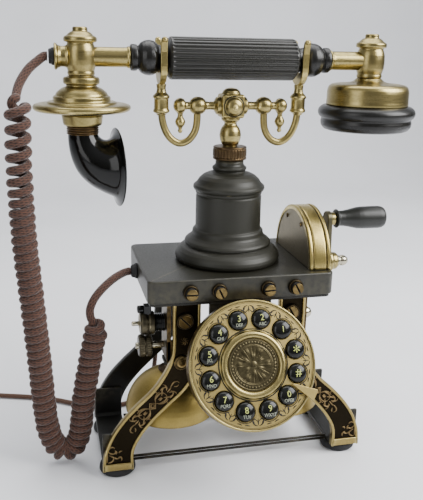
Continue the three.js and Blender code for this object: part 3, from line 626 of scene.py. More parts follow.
def cord_cloth(name, yarn, gap, yarns, pitch, relief_mm=0.28):
    """Woven sleeve: the braid group in the cord's UV, with two near shades of yarn and soft fuzz."""
    material, tree, shader = blank(name)
    uv = tree.nodes.new("ShaderNodeUVMap")
    uv.uv_map = "weave"
    weave = use_group(tree, braid_weave, UV=uv.outputs[0], Yarns=yarns, Pitch=pitch)
    other = tuple(np.array(yarn) * 0.86)
    shade = mixed(tree, weave.outputs["Yarn"], linear(*yarn), linear(*other))
    fuzz = add_node(tree, "TexNoise", Vector=object_place(tree), Scale=1400.0, Detail=2.0)
    shade = mixed(tree, ranged(tree, fuzz.outputs[0], 0.35, 0.75, 0.0, 0.18), shade, linear(150, 112, 92))
    tree.links.new(mixed(tree, weave.outputs["Shade"], linear(*gap), shade), shader.inputs["Base Color"])
    shader.inputs["Roughness"].default_value = 0.85
    shader.inputs["Sheen Weight"].default_value = 0.25
    shader.inputs["Sheen Roughness"].default_value = 0.4
    bumped(tree, weave.outputs["Height"], shader, relief_mm)
    return material


curly_cloth = cord_cloth("curly_braid", (72, 40, 26), (22, 10, 6), 10.0, 4.0)
line_cloth = cord_cloth("line_braid", (92, 62, 44), (36, 22, 15), 8.0, 3.0, 0.2)


def clear_plastic(name):
    material, tree, shader = blank(name)
    cloud = add_node(tree, "TexNoise", Vector=object_place(tree), Scale=160.0)
    tree.links.new(ranged(tree, cloud.outputs[0], 0.3, 0.7, 0.06, 0.14), shader.inputs["Roughness"])
    shader.inputs["Base Color"].default_value = linear(226, 228, 222)
    shader.inputs["Transmission Weight"].default_value = 0.75
    shader.inputs["IOR"].default_value = 1.49
    return material


plug_clear = clear_plastic("plug_clear")
print("materials:", len(bpy.data.materials))

# %% [markdown]
# ## The curly cord
# A 5.8 mm woven cord wound into turns 16.8 mm across, hanging in a long U from the mouth end of the
# handset to the left side of the box. The real one keeps its shape by itself, so it is not
# simulated: a helix is wound round a given line. Close turns are a cord diameter apart; the
# first few under the handset are pulled open by the weight below them.

# %% Route and turns of the curly cord
CURLY_CORD, CURLY_OUTER = 5.8, 16.8
CLOSE_PITCH, TOP_OPENING, BASE_OPENING = 5.85, 3.6, 0.2
TOP_SHARE, BASE_SHARE = 0.24, 0.85
TOP_OVERLAP, BASE_OVERLAP, FADE = 6, 5, 9
FIRST_ANGLE, WOBBLE, WOBBLE_RATE = 2.4, 0.03, 2.1
LEAD_TOP = [(-122.1, 0, 287), (-124.4, -0.3, 286.7), (-128.4, -2.4, 283.8), (-134, -6, 279),
            (-139.5, -12, 271), (-142, -19, 263.5), (-141.6, -24, 259.4)]
COIL_ROUTE = [(-141.4, -26, 256), (-142, -26, 236), (-142.4, -25.5, 216), (-141.6, -24.5, 173),
              (-139, -22, 132), (-136.4, -19.5, 90), (-134.6, -17, 54), (-132.4, -15.5, 30),
              (-127.6, -14.4, 16), (-120.5, -14, 11), (-113.2, -14.4, 16.4), (-109.4, -15, 30),
              (-107.2, -16.5, 52), (-102.6, -17.5, 78), (-99, -18, 96), (-97, -18, 104.6)]
LEAD_BASE = [(-97.4, -18, 108.2), (-100.4, -17.5, 113.4), (-100.6, -16.5, 120), (-97, -14.5, 127),
             (-91, -10.5, 132.4), (-83.6, -4.5, 136.4), (-76.6, 2.6, 137.8), (-72.6, 6, 138),
             (-70.1, 7, 138)]


def ease(t):
    """A smooth step: 0 below 0, 1 above 1, and 3 t^2 - 2 t^3 between."""
    t = np.clip(t, 0, 1)
    return t ** 2 * (3 - 2 * t)


def curly_line():
    """Centreline of the whole cord. The helix is route + r (cos a side + sin a other); a grows by a
    full turn for each pitch of route, and the pitch eases from open to close. r fades to nothing
    at both ends, where the turns run out into the straight leads."""
    route = smooth_route(LEAD_TOP + COIL_ROUTE + LEAD_BASE, 4200)
    along = np.concatenate([[0], np.cumsum(np.linalg.norm(np.diff(route, axis=0), axis=1))])
    top = np.linalg.norm(np.diff(smooth_route(LEAD_TOP, 200), axis=0), axis=1).sum()
    tail = along[-1] - np.linalg.norm(np.diff(smooth_route(LEAD_BASE, 200), axis=0), axis=1).sum()
    wound = np.clip((along - top) / (tail - top), 0, 1)
    radius = (CURLY_OUTER - CURLY_CORD) / 2
    radius = radius * ease((along - top + TOP_OVERLAP) / FADE)
    radius = radius * ease((tail + BASE_OVERLAP - along) / FADE)
    pitch = CLOSE_PITCH + TOP_OPENING * (1 - ease(wound / TOP_SHARE))
    pitch = pitch + BASE_OPENING * ease((wound - BASE_SHARE) / (1 - BASE_SHARE))
    inside = ((along > top - TOP_OVERLAP) & (along < tail + BASE_OVERLAP)).astype(float)
    turns = np.concatenate([[0], np.cumsum(np.diff(along) * inside[1:] / pitch[1:])])
    side, other = carried_frames(route, (0, 1, 0))
    angle = (2 * np.pi * turns + FIRST_ANGLE)[:, None]
    wobble = 1 + WOBBLE * np.sin(turns * WOBBLE_RATE)[:, None]
    return route + radius[:, None] * wobble * (np.cos(angle) * side + np.sin(angle) * other), turns[-1]


curly, curly_turns = curly_line()
curly_length = np.linalg.norm(np.diff(curly, axis=0), axis=1).sum()
curly = smooth_route(curly[::2], 2600)
curly_along = np.linspace(0, curly_length, len(curly))
print(f"curly cord: {curly_turns:.0f} turns, {curly_length / 1000:.2f} m of cord")

# %% The curly cord's mesh, hung between the base and the handset
curly_mesh = grid_mesh("curly_cord", at(rod_points(curly, CURLY_CORD / 2, 12, (0, 1, 0.3))),
                       along=curly_along)
outward(curly_mesh)
curly_mesh.shade_smooth()
curly_mesh.materials.append(curly_cloth)
curly_cord = bpy.data.objects.new("curly_cord", curly_mesh)
bpy.context.scene.collection.objects.link(curly_cord)
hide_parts("curly_lead_top", "curly_coil", "curly_lead_base")
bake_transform(curly_cord)

# %% [markdown]
# ## The line cord
# A 4 mm woven cord leaves a gland behind the box, drops to the table and runs off to the left. Such
# telephones have nearly two metres of it, so the rest lies in a small neat coil behind on the left,
# with its modular plug beside it.

# %% Route, coil and plug of the line cord
LINE_CORD = 4.0
TABLE_REST = LINE_CORD / 2 + 0.2
LINE_ROUTE = [(-38, 52.1, 138), (-38, 54.4, 137.6), (-38, 58.4, 134), (-38.6, 63, 122),
              (-39.6, 65, 100), (-41, 66, 70), (-43, 67, 36), (-46, 67.6, 14), (-54, 67, 4.4),
              (-68, 62.5, TABLE_REST), (-84, 59.5, TABLE_REST), (-98, 62.5, TABLE_REST),
              (-112, 71, TABLE_REST), (-128, 81, TABLE_REST), (-148, 89.5, TABLE_REST),
              (-172, 97, TABLE_REST), (-192, 103.6, TABLE_REST)]
COIL_CENTRE, COIL_MIDDLE, COIL_RINGS, COIL_LAYERS = (-228.0, 104.0), 23.6, 3, 3


def line_coil():
    """Turns round the coil's centre: rings in, out and in again, one layer on the next. In each
    layer the radius runs between the inner and outer ring once, and the height steps up between
    layers, so a turn always lies beside or on its neighbour."""
    turns = COIL_RINGS * COIL_LAYERS
    step = np.linspace(0, turns, turns * 28)
    layer = np.minimum(np.floor(step / COIL_RINGS), COIL_LAYERS - 1)
    within = step / COIL_RINGS - layer
    inward = np.where(layer % 2 == 0, 1 - within, within)
    pitch = LINE_CORD * 1.06
    radius = COIL_MIDDLE + pitch * (COIL_RINGS - 1) * (inward - 0.5)
    rise = ease((within - 0.85) / 0.15) * (layer < COIL_LAYERS - 1)
    height = TABLE_REST + pitch * (layer + rise)
    angle = np.radians(20) + 2 * np.pi * step
    return np.stack([COIL_CENTRE[0] + radius * np.cos(angle), COIL_CENTRE[1] + radius * np.sin(angle),
                     height], -1)


PLUG_LEAD = [(-211.5, 118, 12.5), (-213.5, 125, 15.2), (-218.5, 131, 15.4), (-224, 134.5, 12),
             (-227.4, 136.4, 7.4), (-228, 138.6, 4.2), (-228, 141.5, 3.8)]
coil = line_coil()
line = smooth_route(np.vstack([LINE_ROUTE, coil[2:], PLUG_LEAD]), 1400)
line_length = np.linalg.norm(np.diff(line, axis=0), axis=1).sum()
print(f"line cord: {line_length / 1000:.2f} m, coil of {COIL_RINGS * COIL_LAYERS} turns")

# %% The plug: clear body, spring latch and four gilt contacts
PLUG_CENTRE_X, PLUG_FRONT, PLUG_BACK, PLUG_HEIGHT = -228.0, 140.0, 162.0, 7.4


def plug_pieces():
    """A block with the latch on top, and a comb of contacts at its far end."""
    x, front, back = PLUG_CENTRE_X, PLUG_FRONT, PLUG_BACK
    body = block("plug_body", (x - 5.8, front, 0.3), (x + 5.8, back, 6.4), "base", plug_clear, 0.5,
                 replaces=("line_plug",), slot="clear_plug")
    latch = block("plug_latch", (x - 1.6, front + 2, 6.5), (x + 1.6, back - 1, PLUG_HEIGHT), "base",
                  plug_clear, 0.3, slot="clear_plug")
    combs = []
    for k in (-1.53, -0.51, 0.51, 1.53):
        comb = [(x + k, back - 6.0, 6.5), (x + k, back - 0.6, 6.5), (x + k, back - 0.6, 3.5)]
        combs.append(rod_points(np.array(comb, float), 0.3, 8, (1, 0, 0)))
    contacts = place_piece("plug_contacts", many_grids("plug_contacts", [at(c) for c in combs]), "base",
                           turned_brass, slot="brass")
    return [body, latch, contacts]


plug = plug_pieces()

# %% The line cord's mesh
line_along = np.linspace(0, line_length, len(line))
line_mesh = grid_mesh("line_cord", at(rod_points(line, LINE_CORD / 2, 12, (1, 0, 0))), along=line_along)
line_piece = place_piece("line_cord_braid", line_mesh, "base", line_cloth,
                         replaces=("line_cord", "line_coil"), slot="braid")

# %% [markdown]
# ## Stand
# Four cast legs with a recessed front, a raised rim and a solid band at the foot, two rails and two
# thin bars between them, and four rubber feet. The front legs carry cast scrollwork. A leg is the
# recessed plate, three swept strips for its rim and band, and the scrolls laid on the plate.

# %% Feet
FOOT_X, FOOT_Y = 85.0, 28.0
FOOT = [(0, 0), (11.4, 0), (12.6, 0.8), (13, 2), (12.6, 4.6), (11.6, 6), (0, 6)]
for side_x, side_y, corner in CORNERS:
    turned(f"rubber_foot_{corner}", FOOT, (side_x * FOOT_X, side_y * FOOT_Y, 0), "base", rubber, radius=0.7,
           replaces=(f"foot_{corner}",), slot="rubber")

# %% Leg outline
LEG_OUTER = [(47, 128.7), (47, 114), (47, 100), (48.5, 88), (54, 76), (62, 65), (73, 54.5),
             (83, 43.5), (90.5, 32), (95, 20), (96.2, 12), (96.5, 6.3)]
LEG_INNER = [(28, 128.7), (28, 110), (28, 90), (31, 76), (39, 63.5), (50, 53), (61, 42),
             (69.5, 31), (74.5, 20), (74.8, 6.3)]
LEG_FRONT, LEG_THICK, RIM_WIDTH, RECESS = -41.5, 5.0, 2.1, 1.2
BAND_MIDDLE, BAND_WIDTH = 9.0, 5.4
LEG_STATIONS = 110


def leg_edge(points):
    """An edge of the leg as (x, 0, z) points an equal length apart, from the top down."""
    route = smooth_route([(x, z, 0) for x, z in points], LEG_STATIONS)
    return np.stack([route[:, 0], np.zeros(LEG_STATIONS), route[:, 1]], -1)


def leg_plate(outer, inner, front, back):
    """The plate between the rims: each station is a rectangle from edge to edge, drawn in by the
    rim's width, with its front face a little behind the rim."""
    ahead = (inner - outer) / np.linalg.norm(inner - outer, axis=1)[:, None]
    left, right = outer + ahead * RIM_WIDTH * 0.7, inner - ahead * RIM_WIDTH * 0.7
    steps = np.linspace(0, 1, 9)[None, :, None]
    face = left[:, None] * (1 - steps) + right[:, None] * steps
    forward, behind = face.copy(), face[:, ::-1].copy()
    forward[..., 1], behind[..., 1] = front, back
    return np.concatenate([forward, behind], 1)


def rim_section(width, thick, round_mm=0.7, steps=5):
    """A rectangle with rounded corners: u along the thickness, v across the rim."""
    return rounded_rectangle(thick, width, round_mm, steps)


def mirrored(grid, side_x, side_y):
    """Legs are drawn at the front right and mirrored to the other three corners."""
    return grid * np.array([side_x, -side_y, 1.0])


def strip(edge, towards, y_middle, thick):
    """A rim strip: the edge moved half a width towards the other edge, with its section swept."""
    away = np.gradient(edge, axis=0)
    away /= np.linalg.norm(away, axis=1)[:, None]
    inward = np.cross(away, [0, 1, 0])
    inward *= np.sign(np.einsum("ij,ij->i", inward, towards - edge))[:, None]
    path = edge + inward * RIM_WIDTH / 2 + np.array([0, y_middle, 0])
    return swept_points(path, rim_section(RIM_WIDTH, thick), (0, 1, 0))


outer_edge, inner_edge = leg_edge(LEG_OUTER), leg_edge(LEG_INNER)
plate_grid = leg_plate(outer_edge, inner_edge, LEG_FRONT + RECESS, LEG_FRONT + LEG_THICK)
middle_y = LEG_FRONT + LEG_THICK / 2
rim_grids = [strip(outer_edge, inner_edge, middle_y, LEG_THICK),
             strip(inner_edge, outer_edge, middle_y, LEG_THICK)]
band_path = np.linspace((75.2, middle_y, BAND_MIDDLE), (96.0, middle_y, BAND_MIDDLE), 12)
rim_grids.append(swept_points(band_path, rim_section(BAND_WIDTH, LEG_THICK), (0, 1, 0)))

# %% The four legs
leg_finish = patinated("leg_plate", (36, 30, 20), (18, 15, 10), 0.32, 0.5, cloud=30, contrast=0.35)
for side_x, side_y, corner in CORNERS:
    plate_finish, edge_finish = (leg_finish, rim_gold) if side_y < 0 else (black_iron, lacquer)
    place_piece(f"leg_plate_{corner}", grid_mesh("leg", at(mirrored(plate_grid, side_x, side_y))), "base",
                plate_finish, replaces=(f"leg_{corner}",), slot="bronze", smooth=False)
    edges = many_grids("rim", [at(mirrored(g, side_x, side_y)) for g in rim_grids])
    place_piece(f"leg_rim_{corner}", edges, "base", edge_finish,
                slot="brass" if side_y < 0 else "black_iron")
print("legs: plate of", plate_grid.shape, "and rims of", [g.shape for g in rim_grids])

# %% [markdown]
# ## Scrollwork
# A vine is a curve whose bend grows steadily along it: its heading is h + b s + (c - b) s^2 / (2 L),
# where b is the bend at the start and c at the end. Summing the heading's cosine and sine gives
# the curve. A few vines, mirrored about the leg's middle line, make each ornament.

# %% Vines


def vine(start, heading, bend_start, bend_end, length, count=26):
    """A vine as (x, y) points. Heading in degrees, bends in degrees a millimetre."""
    s = np.linspace(0, length, count)
    turning = heading + bend_start * s + (bend_end - bend_start) * s ** 2 / (2 * length)
    step = np.stack([np.cos(np.radians(turning)), np.sin(np.radians(turning))], -1) * length / (count - 1)
    return np.asarray(start, float) + np.vstack([[0, 0], np.cumsum(step[:-1], axis=0)])


def both_sides(vines):
    """Each vine and its mirror image about the x axis."""
    return [v * np.array([1, flip]) for v in vines for flip in (1, -1)]


def half_of_leg_scroll():
    """From the diamond outwards along +x: two long vines that bow out and curl back in, a pair of
    small ones inside them, leaf tips and a curl at the end."""
    paired = both_sides([
        vine((3.2, 0.4), 58, -3, -16, 9.5), vine((4.6, 2.2), 20, 2, -30, 10.0),
        vine((9.6, 1.0), 38, 6, -24, 8.0), vine((12.0, 4.6), 12, -6, -34, 7.0),
        vine((9.0, 5.0), 100, 10, 30, 3.0), vine((14.6, 1.2), 30, 4, 30, 6.5),
        vine((6.0, 0.5), 10, -10, -60, 3.6)])
    single = [vine((18.6, 0.6), 6, 4, -40, 8.4), vine((14.0, 0.0), 0, 0, 4, 5.0),
              vine((20.0, -1.4), -50, -10, 50, 3.6)]
    return paired + single


def diamond(size):
    """A small square on its corner, as a closed line."""
    return np.array([(size, 0), (0, size), (-size, 0), (0, -size), (size, 0), (0, size)], float)


def foot_scroll():
    """A scroll for the bottom outer corner: a straight spine, an S vine across, and curls."""
    return [vine((0.6, 0.4), 88, 0, 0, 9.0), vine((1.2, 0.2), 4, 6, 34, 7.0),
            vine((1.4, 9.6), -60, 4, 44, 8.4), vine((2.0, 6.0), -14, -16, 34, 9.0),
            vine((10.6, 1.0), 70, 8, 60, 5.4), vine((1.4, 10.0), 66, -6, -44, 6.4),
            vine((6.6, 6.6), 40, 30, 50, 3.4), vine((9.0, 7.2), 80, -20, -60, 3.0)]


middle_line = (outer_edge + inner_edge) / 2
middle_along = np.concatenate([[0], np.cumsum(np.linalg.norm(np.diff(middle_line, axis=0), axis=1))])
DIAMOND_HEIGHT = 54.1
diamond_along = np.interp(-DIAMOND_HEIGHT, -middle_line[:, 2], middle_along)
vine_depth = LEG_FRONT + RECESS - 0.15


def on_leg(points):
    """Ornament (x up the leg, y across it) -> points on the leg's recessed face."""
    s = diamond_along - points[:, 0]
    centre = np.stack([np.interp(s, middle_along, middle_line[:, k]) for k in range(3)], -1)
    slope = np.gradient(middle_line, axis=0)
    slope = np.stack([np.interp(s, middle_along, slope[:, k]) for k in range(3)], -1)
    slope /= np.linalg.norm(slope, axis=1)[:, None]
    across = np.cross(slope, [0, 1, 0])
    placed = centre + across * points[:, 1:2]
    placed[:, 1] = vine_depth
    return placed


def strand(points, thick=0.52):
    """A strand that swells in the middle and is pinched to a point at both ends."""
    t = np.linspace(0, 1, len(points))
    return rod_points(points, thick * (0.35 + 0.65 * np.sin(np.pi * t ** 0.8)), 6, (0, 1, 0))


leg_vines = [v * np.array([flip, 1]) for v in half_of_leg_scroll() for flip in (1, -1)]
leg_vines += [diamond(2.9), diamond(1.5)]
corner_vines = [np.stack([94.0 - v[:, 0], np.full(len(v), vine_depth), 12.6 + v[:, 1]], -1)
                for v in foot_scroll()]
scroll_grids = [strand(on_leg(v)) for v in leg_vines] + [strand(v, 0.6) for v in corner_vines]
for side_x, across in SIDES:
    place_piece(f"leg_scroll_{across}",
                many_grids("scroll", [at(mirrored(g, side_x, -1)) for g in scroll_grids]), "base",
                scroll_gold, slot="brass")
print(len(scroll_grids), "strands on each front leg")

# %% Rails and cross bars
RAIL_X, RAIL_HALF, RAIL_LOW, RAIL_HIGH = 85.5, 10.4, 6.3, 9.3
for side_x, across in SIDES:
    centre = side_x * RAIL_X
    rail = [(-36.2, RAIL_LOW), (-36.2, 32.3), (-33.8, 32.3), (-33.8, RAIL_HIGH + 2), (-31.8, RAIL_HIGH),
            (31.8, RAIL_HIGH), (33.8, RAIL_HIGH + 2), (33.8, 32.3), (36.2, 32.3), (36.2, RAIL_LOW)]
    plate(f"stand_rail_{across}", rail, 2 * RAIL_HALF, "base", black_iron, 0.4, turn=ACROSS,
          centre=(centre - RAIL_HALF, 0, 0), replaces=("base_frame",) if side_x < 0 else (),
          slot="black_iron")
for y in (-30.0, 30.0):
    for lift in (-1.25, 1.25):
        rod(f"cross_bar_{'front' if y < 0 else 'rear'}_{'low' if lift < 0 else 'high'}",
            [(-74, y, 8.6 + lift), (0, y, 8.6 + lift), (74, y, 8.6 + lift)], 0.95, "base", black_iron,
            count=6, sides=12, slot="black_iron")

# %% [markdown]
# ## Box and column
# A shallow lacquered box with soft corners carries the bell-shaped column, whose neck ends in a
# knurled collar. Screws here are a dished washer and a slotted head that stands well out of it.

# %% Box cover, hollow and open below
COVER_WIDTH, COVER_DEPTH, COVER_CORNER, COVER_LOW, COVER_HIGH, WALL = 130.0, 94.0, 5.0, 131.5, 147.0, 2.5


def box_rings():
    """Rings of the same rounded rectangle, each drawn in by `inset` at a height: up the inside,
    down and out at the rim, up the outside and round the top edge to the middle."""
    rings = [(60, COVER_HIGH - WALL), (WALL + 1, COVER_HIGH - WALL), (WALL, COVER_HIGH - WALL - 1),
             (WALL, COVER_LOW + 0.3), (WALL - 0.3, COVER_LOW), (0.3, COVER_LOW), (0, COVER_LOW + 0.3),
             (0, COVER_HIGH - 1.4), (0.1, COVER_HIGH - 0.9), (0.4, COVER_HIGH - 0.4),
             (0.9, COVER_HIGH - 0.1), (1.4, COVER_HIGH), (46.5, COVER_HIGH)]
    grid = []
    for inset, height in rings:
        inset = min(inset, COVER_DEPTH / 2 - 0.5)
        corner = max(COVER_CORNER - inset, 0.2)
        outline = rounded_rectangle(COVER_WIDTH - 2 * inset, COVER_DEPTH - 2 * inset, corner)
        grid.append(np.column_stack([outline, np.full(len(outline), height)]))
    return np.array(grid)


box_shell = place_piece("box_shell", grid_mesh("box_shell", at(box_rings())), "base", lacquer,
                        replaces=("box_cover",), slot="black_iron")
flat_faces = box_shell.modifiers.new("flat_faces", "WEIGHTED_NORMAL")
flat_faces.weight = 100
plate("box_base_plate", rounded_rectangle(127, 91, 4), 2.2, "base", black_iron, 0.3, centre=(0, 0, 129),
      replaces=("box_floor",), slot="black_iron")

# %% Slotted screws


def facing(direction, spin=0.0):
    """Axes for a piece whose own height runs along `direction`, turned by spin degrees about it."""
    n = np.asarray(direction, float) / np.linalg.norm(direction)
    x = np.cross([0, 0, 1], n) if abs(n[2]) < 0.9 else np.array([1.0, 0, 0])
    x = x / np.linalg.norm(x)
    y = np.cross(n, x)
    c, s = math.cos(math.radians(spin)), math.sin(math.radians(spin))
    return np.column_stack([c * x + s * y, c * y - s * x, n])


def half_disc(radius, gap, sign, steps=20):
    """One side of a slotted head: the part of a disc further than gap from its middle line."""
    reach = math.acos(gap / radius)
    a = np.linspace(-reach, reach, steps) + (0 if sign > 0 else np.pi)
    return radius * np.stack([np.cos(a), np.sin(a)], -1)


SLOT_HALF, HEAD_THICK = 0.55, 1.2


def slotted_screw(name, place, direction, washer, head, tall, spin):
    """A dished washer, a shank as tall as the bottom of the slot, and two halves of the head."""
    turn = facing(direction, spin)
    turned(name + "_washer", [(0, 0), (washer, 0), (washer, 1.6), (washer - 0.7, 2.5), (washer - 1.4, 2.1),
                              (head + 0.1, 1.0), (0, 1.0)], place, "base", bronze, axis=turn, sides=40,
           radius=0.4, slot="bronze")
    # The shank's dark top is painted shade at the bottom of the slot between the head halves.
    turned(name + "_shank", [(0, 0.6), (head, 0.6), (head, tall - 1.1), (0, tall - 1.1)], place, "base",
           engraving_and_shade_dark, axis=turn, sides=32, radius=0.1, slot="bronze")
    for sign in (1, -1):
        plate(f"{name}_head_{'a' if sign > 0 else 'b'}", half_disc(head, SLOT_HALF, sign), HEAD_THICK,
              "base", screw_brass, 0.25, turn=turn,
              centre=np.asarray(place) + turn[:, 2] * (tall - HEAD_THICK), slot="bronze")


FRONT, BACK = (0, -1, 0), (0, 1, 0)
COVER_FRONT = -COVER_DEPTH / 2
for number, (x, spin) in enumerate(((-36.5, -2), (-17, -64), (17, 3), (36.5, -62))):
    slotted_screw(f"terminal_screw_{number}", (x, COVER_FRONT, 138.5), FRONT, 5.3, 3.9, 6.2, 90 + spin)
PLATE_FRONT = LEG_FRONT + RECESS
slotted_screw("leg_screw_left", (-38.9, PLATE_FRONT, 115.9), FRONT, 5.9, 4.6, 2.7, 45)
slotted_screw("leg_screw_right", (36.9, PLATE_FRONT, 117.4), FRONT, 5.9, 4.6, 2.7, 30)
PLUG = [(0, 0), (5.2, 0), (5.2, 1.4), (4.4, 2.0), (3.8, 1.5), (3.2, 2.2), (0, 2.6)]
for side, name in SIDES:
    turned(f"leg_plug_{name}", PLUG, (side * 41.2, PLATE_FRONT, 85.5), "base", screw_brass,
           axis=facing(FRONT), sides=40, slot="bronze")

# %% A small cast rosette between the left leg's screws
ROSETTE_AT, ROSETTE_RADIUS = np.array([-39.0, PLATE_FRONT, 101.0]), 2.9
petals = [ROSETTE_AT + np.stack([ROSETTE_RADIUS * t * math.cos(a) - 0.7 * np.sin(np.pi * t) * math.sin(a),
                                 np.full(len(t), -0.1),
                                 ROSETTE_RADIUS * t * math.sin(a) + 0.7 * np.sin(np.pi * t) * math.cos(a)],
                                -1) for t in [np.linspace(0.12, 1, 12)] for a in np.radians(np.arange(0, 360,
                                                                                                      45))]
place_piece("leg_rosette", many_grids("leg_rosette", [at(strand(p, 0.35)) for p in petals]), "base",
            bronze, slot="bronze")

# %% Column: a bell on a moulded foot, a shoulder and a short neck
COLUMN = [(33, 147.1), (36.2, 147.2), (37.4, 148.6), (37.8, 150.4), (37.3, 152.4), (35.9, 154.8),
          (33.6, 156.8), (31.2, 158), (30.2, 158.6), (31.0, 159.4), (31.1, 160.8), (30.2, 162),
          (28.3, 163.4), (26.5, 165), (25.7, 166.2), (25.3, 168.8), (24.6, 169.7), (23.6, 170.4),
          (23.4, 172), (23.3, 190), (23.3, 193.6), (22.8, 194.8), (23.5, 195.7), (23.8, 197.2),
          (24.8, 198.2), (25.4, 199.7), (25.0, 201.2), (23.6, 202.3), (22.6, 203.4), (21.2, 205.7),
          (18.6, 208.0), (15.8, 209.4), (12.6, 210.2), (11.1, 211.2), (12.1, 212.8), (12.0, 214),
          (10.4, 215.2), (9.9, 216.4), (9.9, 219)]
column_finish = patinated("column_lacquer", (34, 33, 23), (27, 26, 18), 0.42, 0.54, cloud=26, contrast=0.4,
                          stretch=(0.05, 0.05, 6), metallic=0.2, bump_mm=0.02, rub=(84, 78, 58))
turned("column_bell", COLUMN, (0, 0, 0), "base", column_finish, sides=128, radius=0.3,
       replaces=("column",), slot="black_iron")

# %% Knurled collar and the switch rod's guide
KNURLS = 30


def knurl(height, angle, radius):
    """Straight knurling on the middle of the collar: narrow grooves KNURLS times round it."""
    middle = np.clip((height - 220.6) / 0.5, 0, 1) * np.clip((227.0 - height) / 0.5, 0, 1)
    return -0.5 * middle * (radius > 8) * (0.5 - 0.5 * np.cos(KNURLS * angle)) ** 3


COLLAR = [(6.2, 219.3), (11.4, 219.3), (11.8, 219.8), (11.8, 220.6), (11.4, 221.1), (11.8, 221.6),
          (11.8, 224), (11.8, 226.4), (11.4, 226.9), (11.8, 227.4), (11.6, 228.1), (11.0, 228.4),
          (6.2, 228.4)]
turned("collar_knurled", COLLAR, (0, 0, 0), "base", collar_bronze, sides=KNURLS * 8, radius=0.2,
       wave=knurl, replaces=("column_collar",), slot="bronze")

# %% [markdown]
# ## Cradle
# A turned stem rises from the collar to a cube with a boss on its front. From each side of the cube
# an arm of beads and balls runs out to a J-shaped hook, and on each hook stands a fork that holds
# the handset. The whole cradle moves a few millimetres down when the handset is put on it.

# %% Stem, cube and boss
CUBE_HEIGHT, CUBE_HALF = 256.0, 8.0
STEM = [(5, 162), (5, 229.5), (6, 230), (7.0, 232.6), (7.6, 236), (7.1, 239), (6, 241.5), (4.6, 243),
        (4.2, 244), (4.8, 245.2), (6.2, 246.2), (6.6, 247), (6.4, 248.2), (6.2, 248.6)]
turned("cradle_stem", STEM, (0, 0, 0), "cradle", turned_brass, sides=64, radius=0.5,
       replaces=("cradle_post",), slot="brass")
block("cradle_cube", (-CUBE_HALF, -CUBE_HALF, CUBE_HEIGHT - CUBE_HALF),
      (CUBE_HALF, CUBE_HALF, CUBE_HEIGHT + CUBE_HALF), "cradle", brass, 1.9, 5, slot="brass")
turned("cradle_boss", [(0, 0), (6.6, 0), (6.6, 0.8), (6.0, 1.2), (5.6, 2.0), (5.8, 2.8), (4.6, 4.2),
                       (2.4, 5.1), (0, 5.4)], (0, -CUBE_HALF + 0.3, CUBE_HEIGHT), "cradle", turned_brass,
       axis=facing(FRONT), sides=56, slot="brass")
turned("cradle_finial", [(0, 263.6), (6.4, 263.6), (6.6, 264.4), (6.0, 265.2), (5.6, 266.2), (3.8, 267.6),
                         (0, 268.3)], (0, 0, 0), "cradle", turned_brass, sides=48, slot="brass")
# A thin dark ring round the foot of the boss, standing just proud of the cube: painted shade where the boss
# meets the cube.
BOSS_SHADE_RING = [(6.7, 0.1), (7.2, 0.1), (7.2, 0.5), (6.7, 0.5)]
turned("cradle_boss_groove", BOSS_SHADE_RING, (0, -CUBE_HALF, CUBE_HEIGHT), "cradle", engraving_and_shade_dark,
       axis=facing(FRONT), sides=56, radius=0, ring=True, slot="bronze")

# %% Side arms, hooks and drops
ARM = [(0, 7), (5.9, 7.6), (5.9, 10.4), (4.6, 11.2), (2.9, 12.2), (2.7, 16), (3.0, 18), (4.2, 18.6),
       (5.5, 20.3), (6.1, 22.4), (6.1, 24.4), (5.5, 26.4), (4.2, 28.2), (2.7, 29), (2.6, 31), (3.0, 32.2),
       (4.5, 33.1), (5.2, 34.8), (5.2, 36.4), (4.4, 38.2), (2.6, 39.8), (0, 40.4)]
HOOK = [(23.6, 0, 256), (23.7, 0, 250), (23.9, 0, 245), (24.6, 0, 240.6), (26.4, 0, 236.4), (30, 0, 232.4),
        (35.3, 0, 230.6), (40.4, 0, 232.6), (44.4, 0, 237), (47, 0, 243), (48.2, 0, 250), (48.5, 0, 262)]
DROP = [(0, 237.4), (1.2, 237.9), (1.7, 239.2), (1.2, 240.4), (1.5, 241.4), (3.0, 243.2), (3.6, 245),
        (3.1, 246.8), (1.9, 248.6), (1.7, 250.4), (2.6, 251.6), (1.8, 252.6), (1.8, 256)]
COLLAR_ON_HOOK = [(0, 249.6), (3.0, 249.6), (3.6, 250.8), (5.2, 251.6), (5.7, 252.6), (5.2, 253.6),
                  (4.9, 254.2), (4.9, 260.6), (5.7, 261.4), (5.7, 262.4), (4.6, 263.6), (3.4, 264.8),
                  (3.0, 267.4), (3.4, 270.2), (0, 270.6)]
FORK_X, FORK_TOP, FORK_INNER, FORK_OUTER, FORK_THICK = 48.5, 299.0, 9.6, 12.6, 4.4
PRONG_LEAN, OUTER_BEND, INNER_BEND, OUTER_DEEP, INNER_DEEP = 8, 282, 284, 12.2, 6.5


def fork_outline(steps=14):
    """The fork seen along the handset, as (y, z): a U whose prongs lean out a little at the top."""
    a = np.linspace(0, np.pi, steps)
    lean = FORK_TOP - PRONG_LEAN
    outer = [(-FORK_OUTER - 1.6, FORK_TOP), (-FORK_OUTER, lean), (-FORK_OUTER, OUTER_BEND)]
    outer += [(-FORK_OUTER * math.cos(t), OUTER_BEND - OUTER_DEEP * math.sin(t)) for t in a[1:-1]]
    outer += [(FORK_OUTER, OUTER_BEND), (FORK_OUTER, lean), (FORK_OUTER + 1.6, FORK_TOP)]
    inner = [(FORK_INNER + 2.2, FORK_TOP + 0.3), (FORK_INNER, lean), (FORK_INNER, INNER_BEND)]
    inner += [(FORK_INNER * math.cos(t), INNER_BEND - INNER_DEEP * math.sin(t)) for t in a[1:-1]]
    inner += [(-FORK_INNER, INNER_BEND), (-FORK_INNER, lean), (-FORK_INNER - 2.2, FORK_TOP + 0.3)]
    return outer + inner


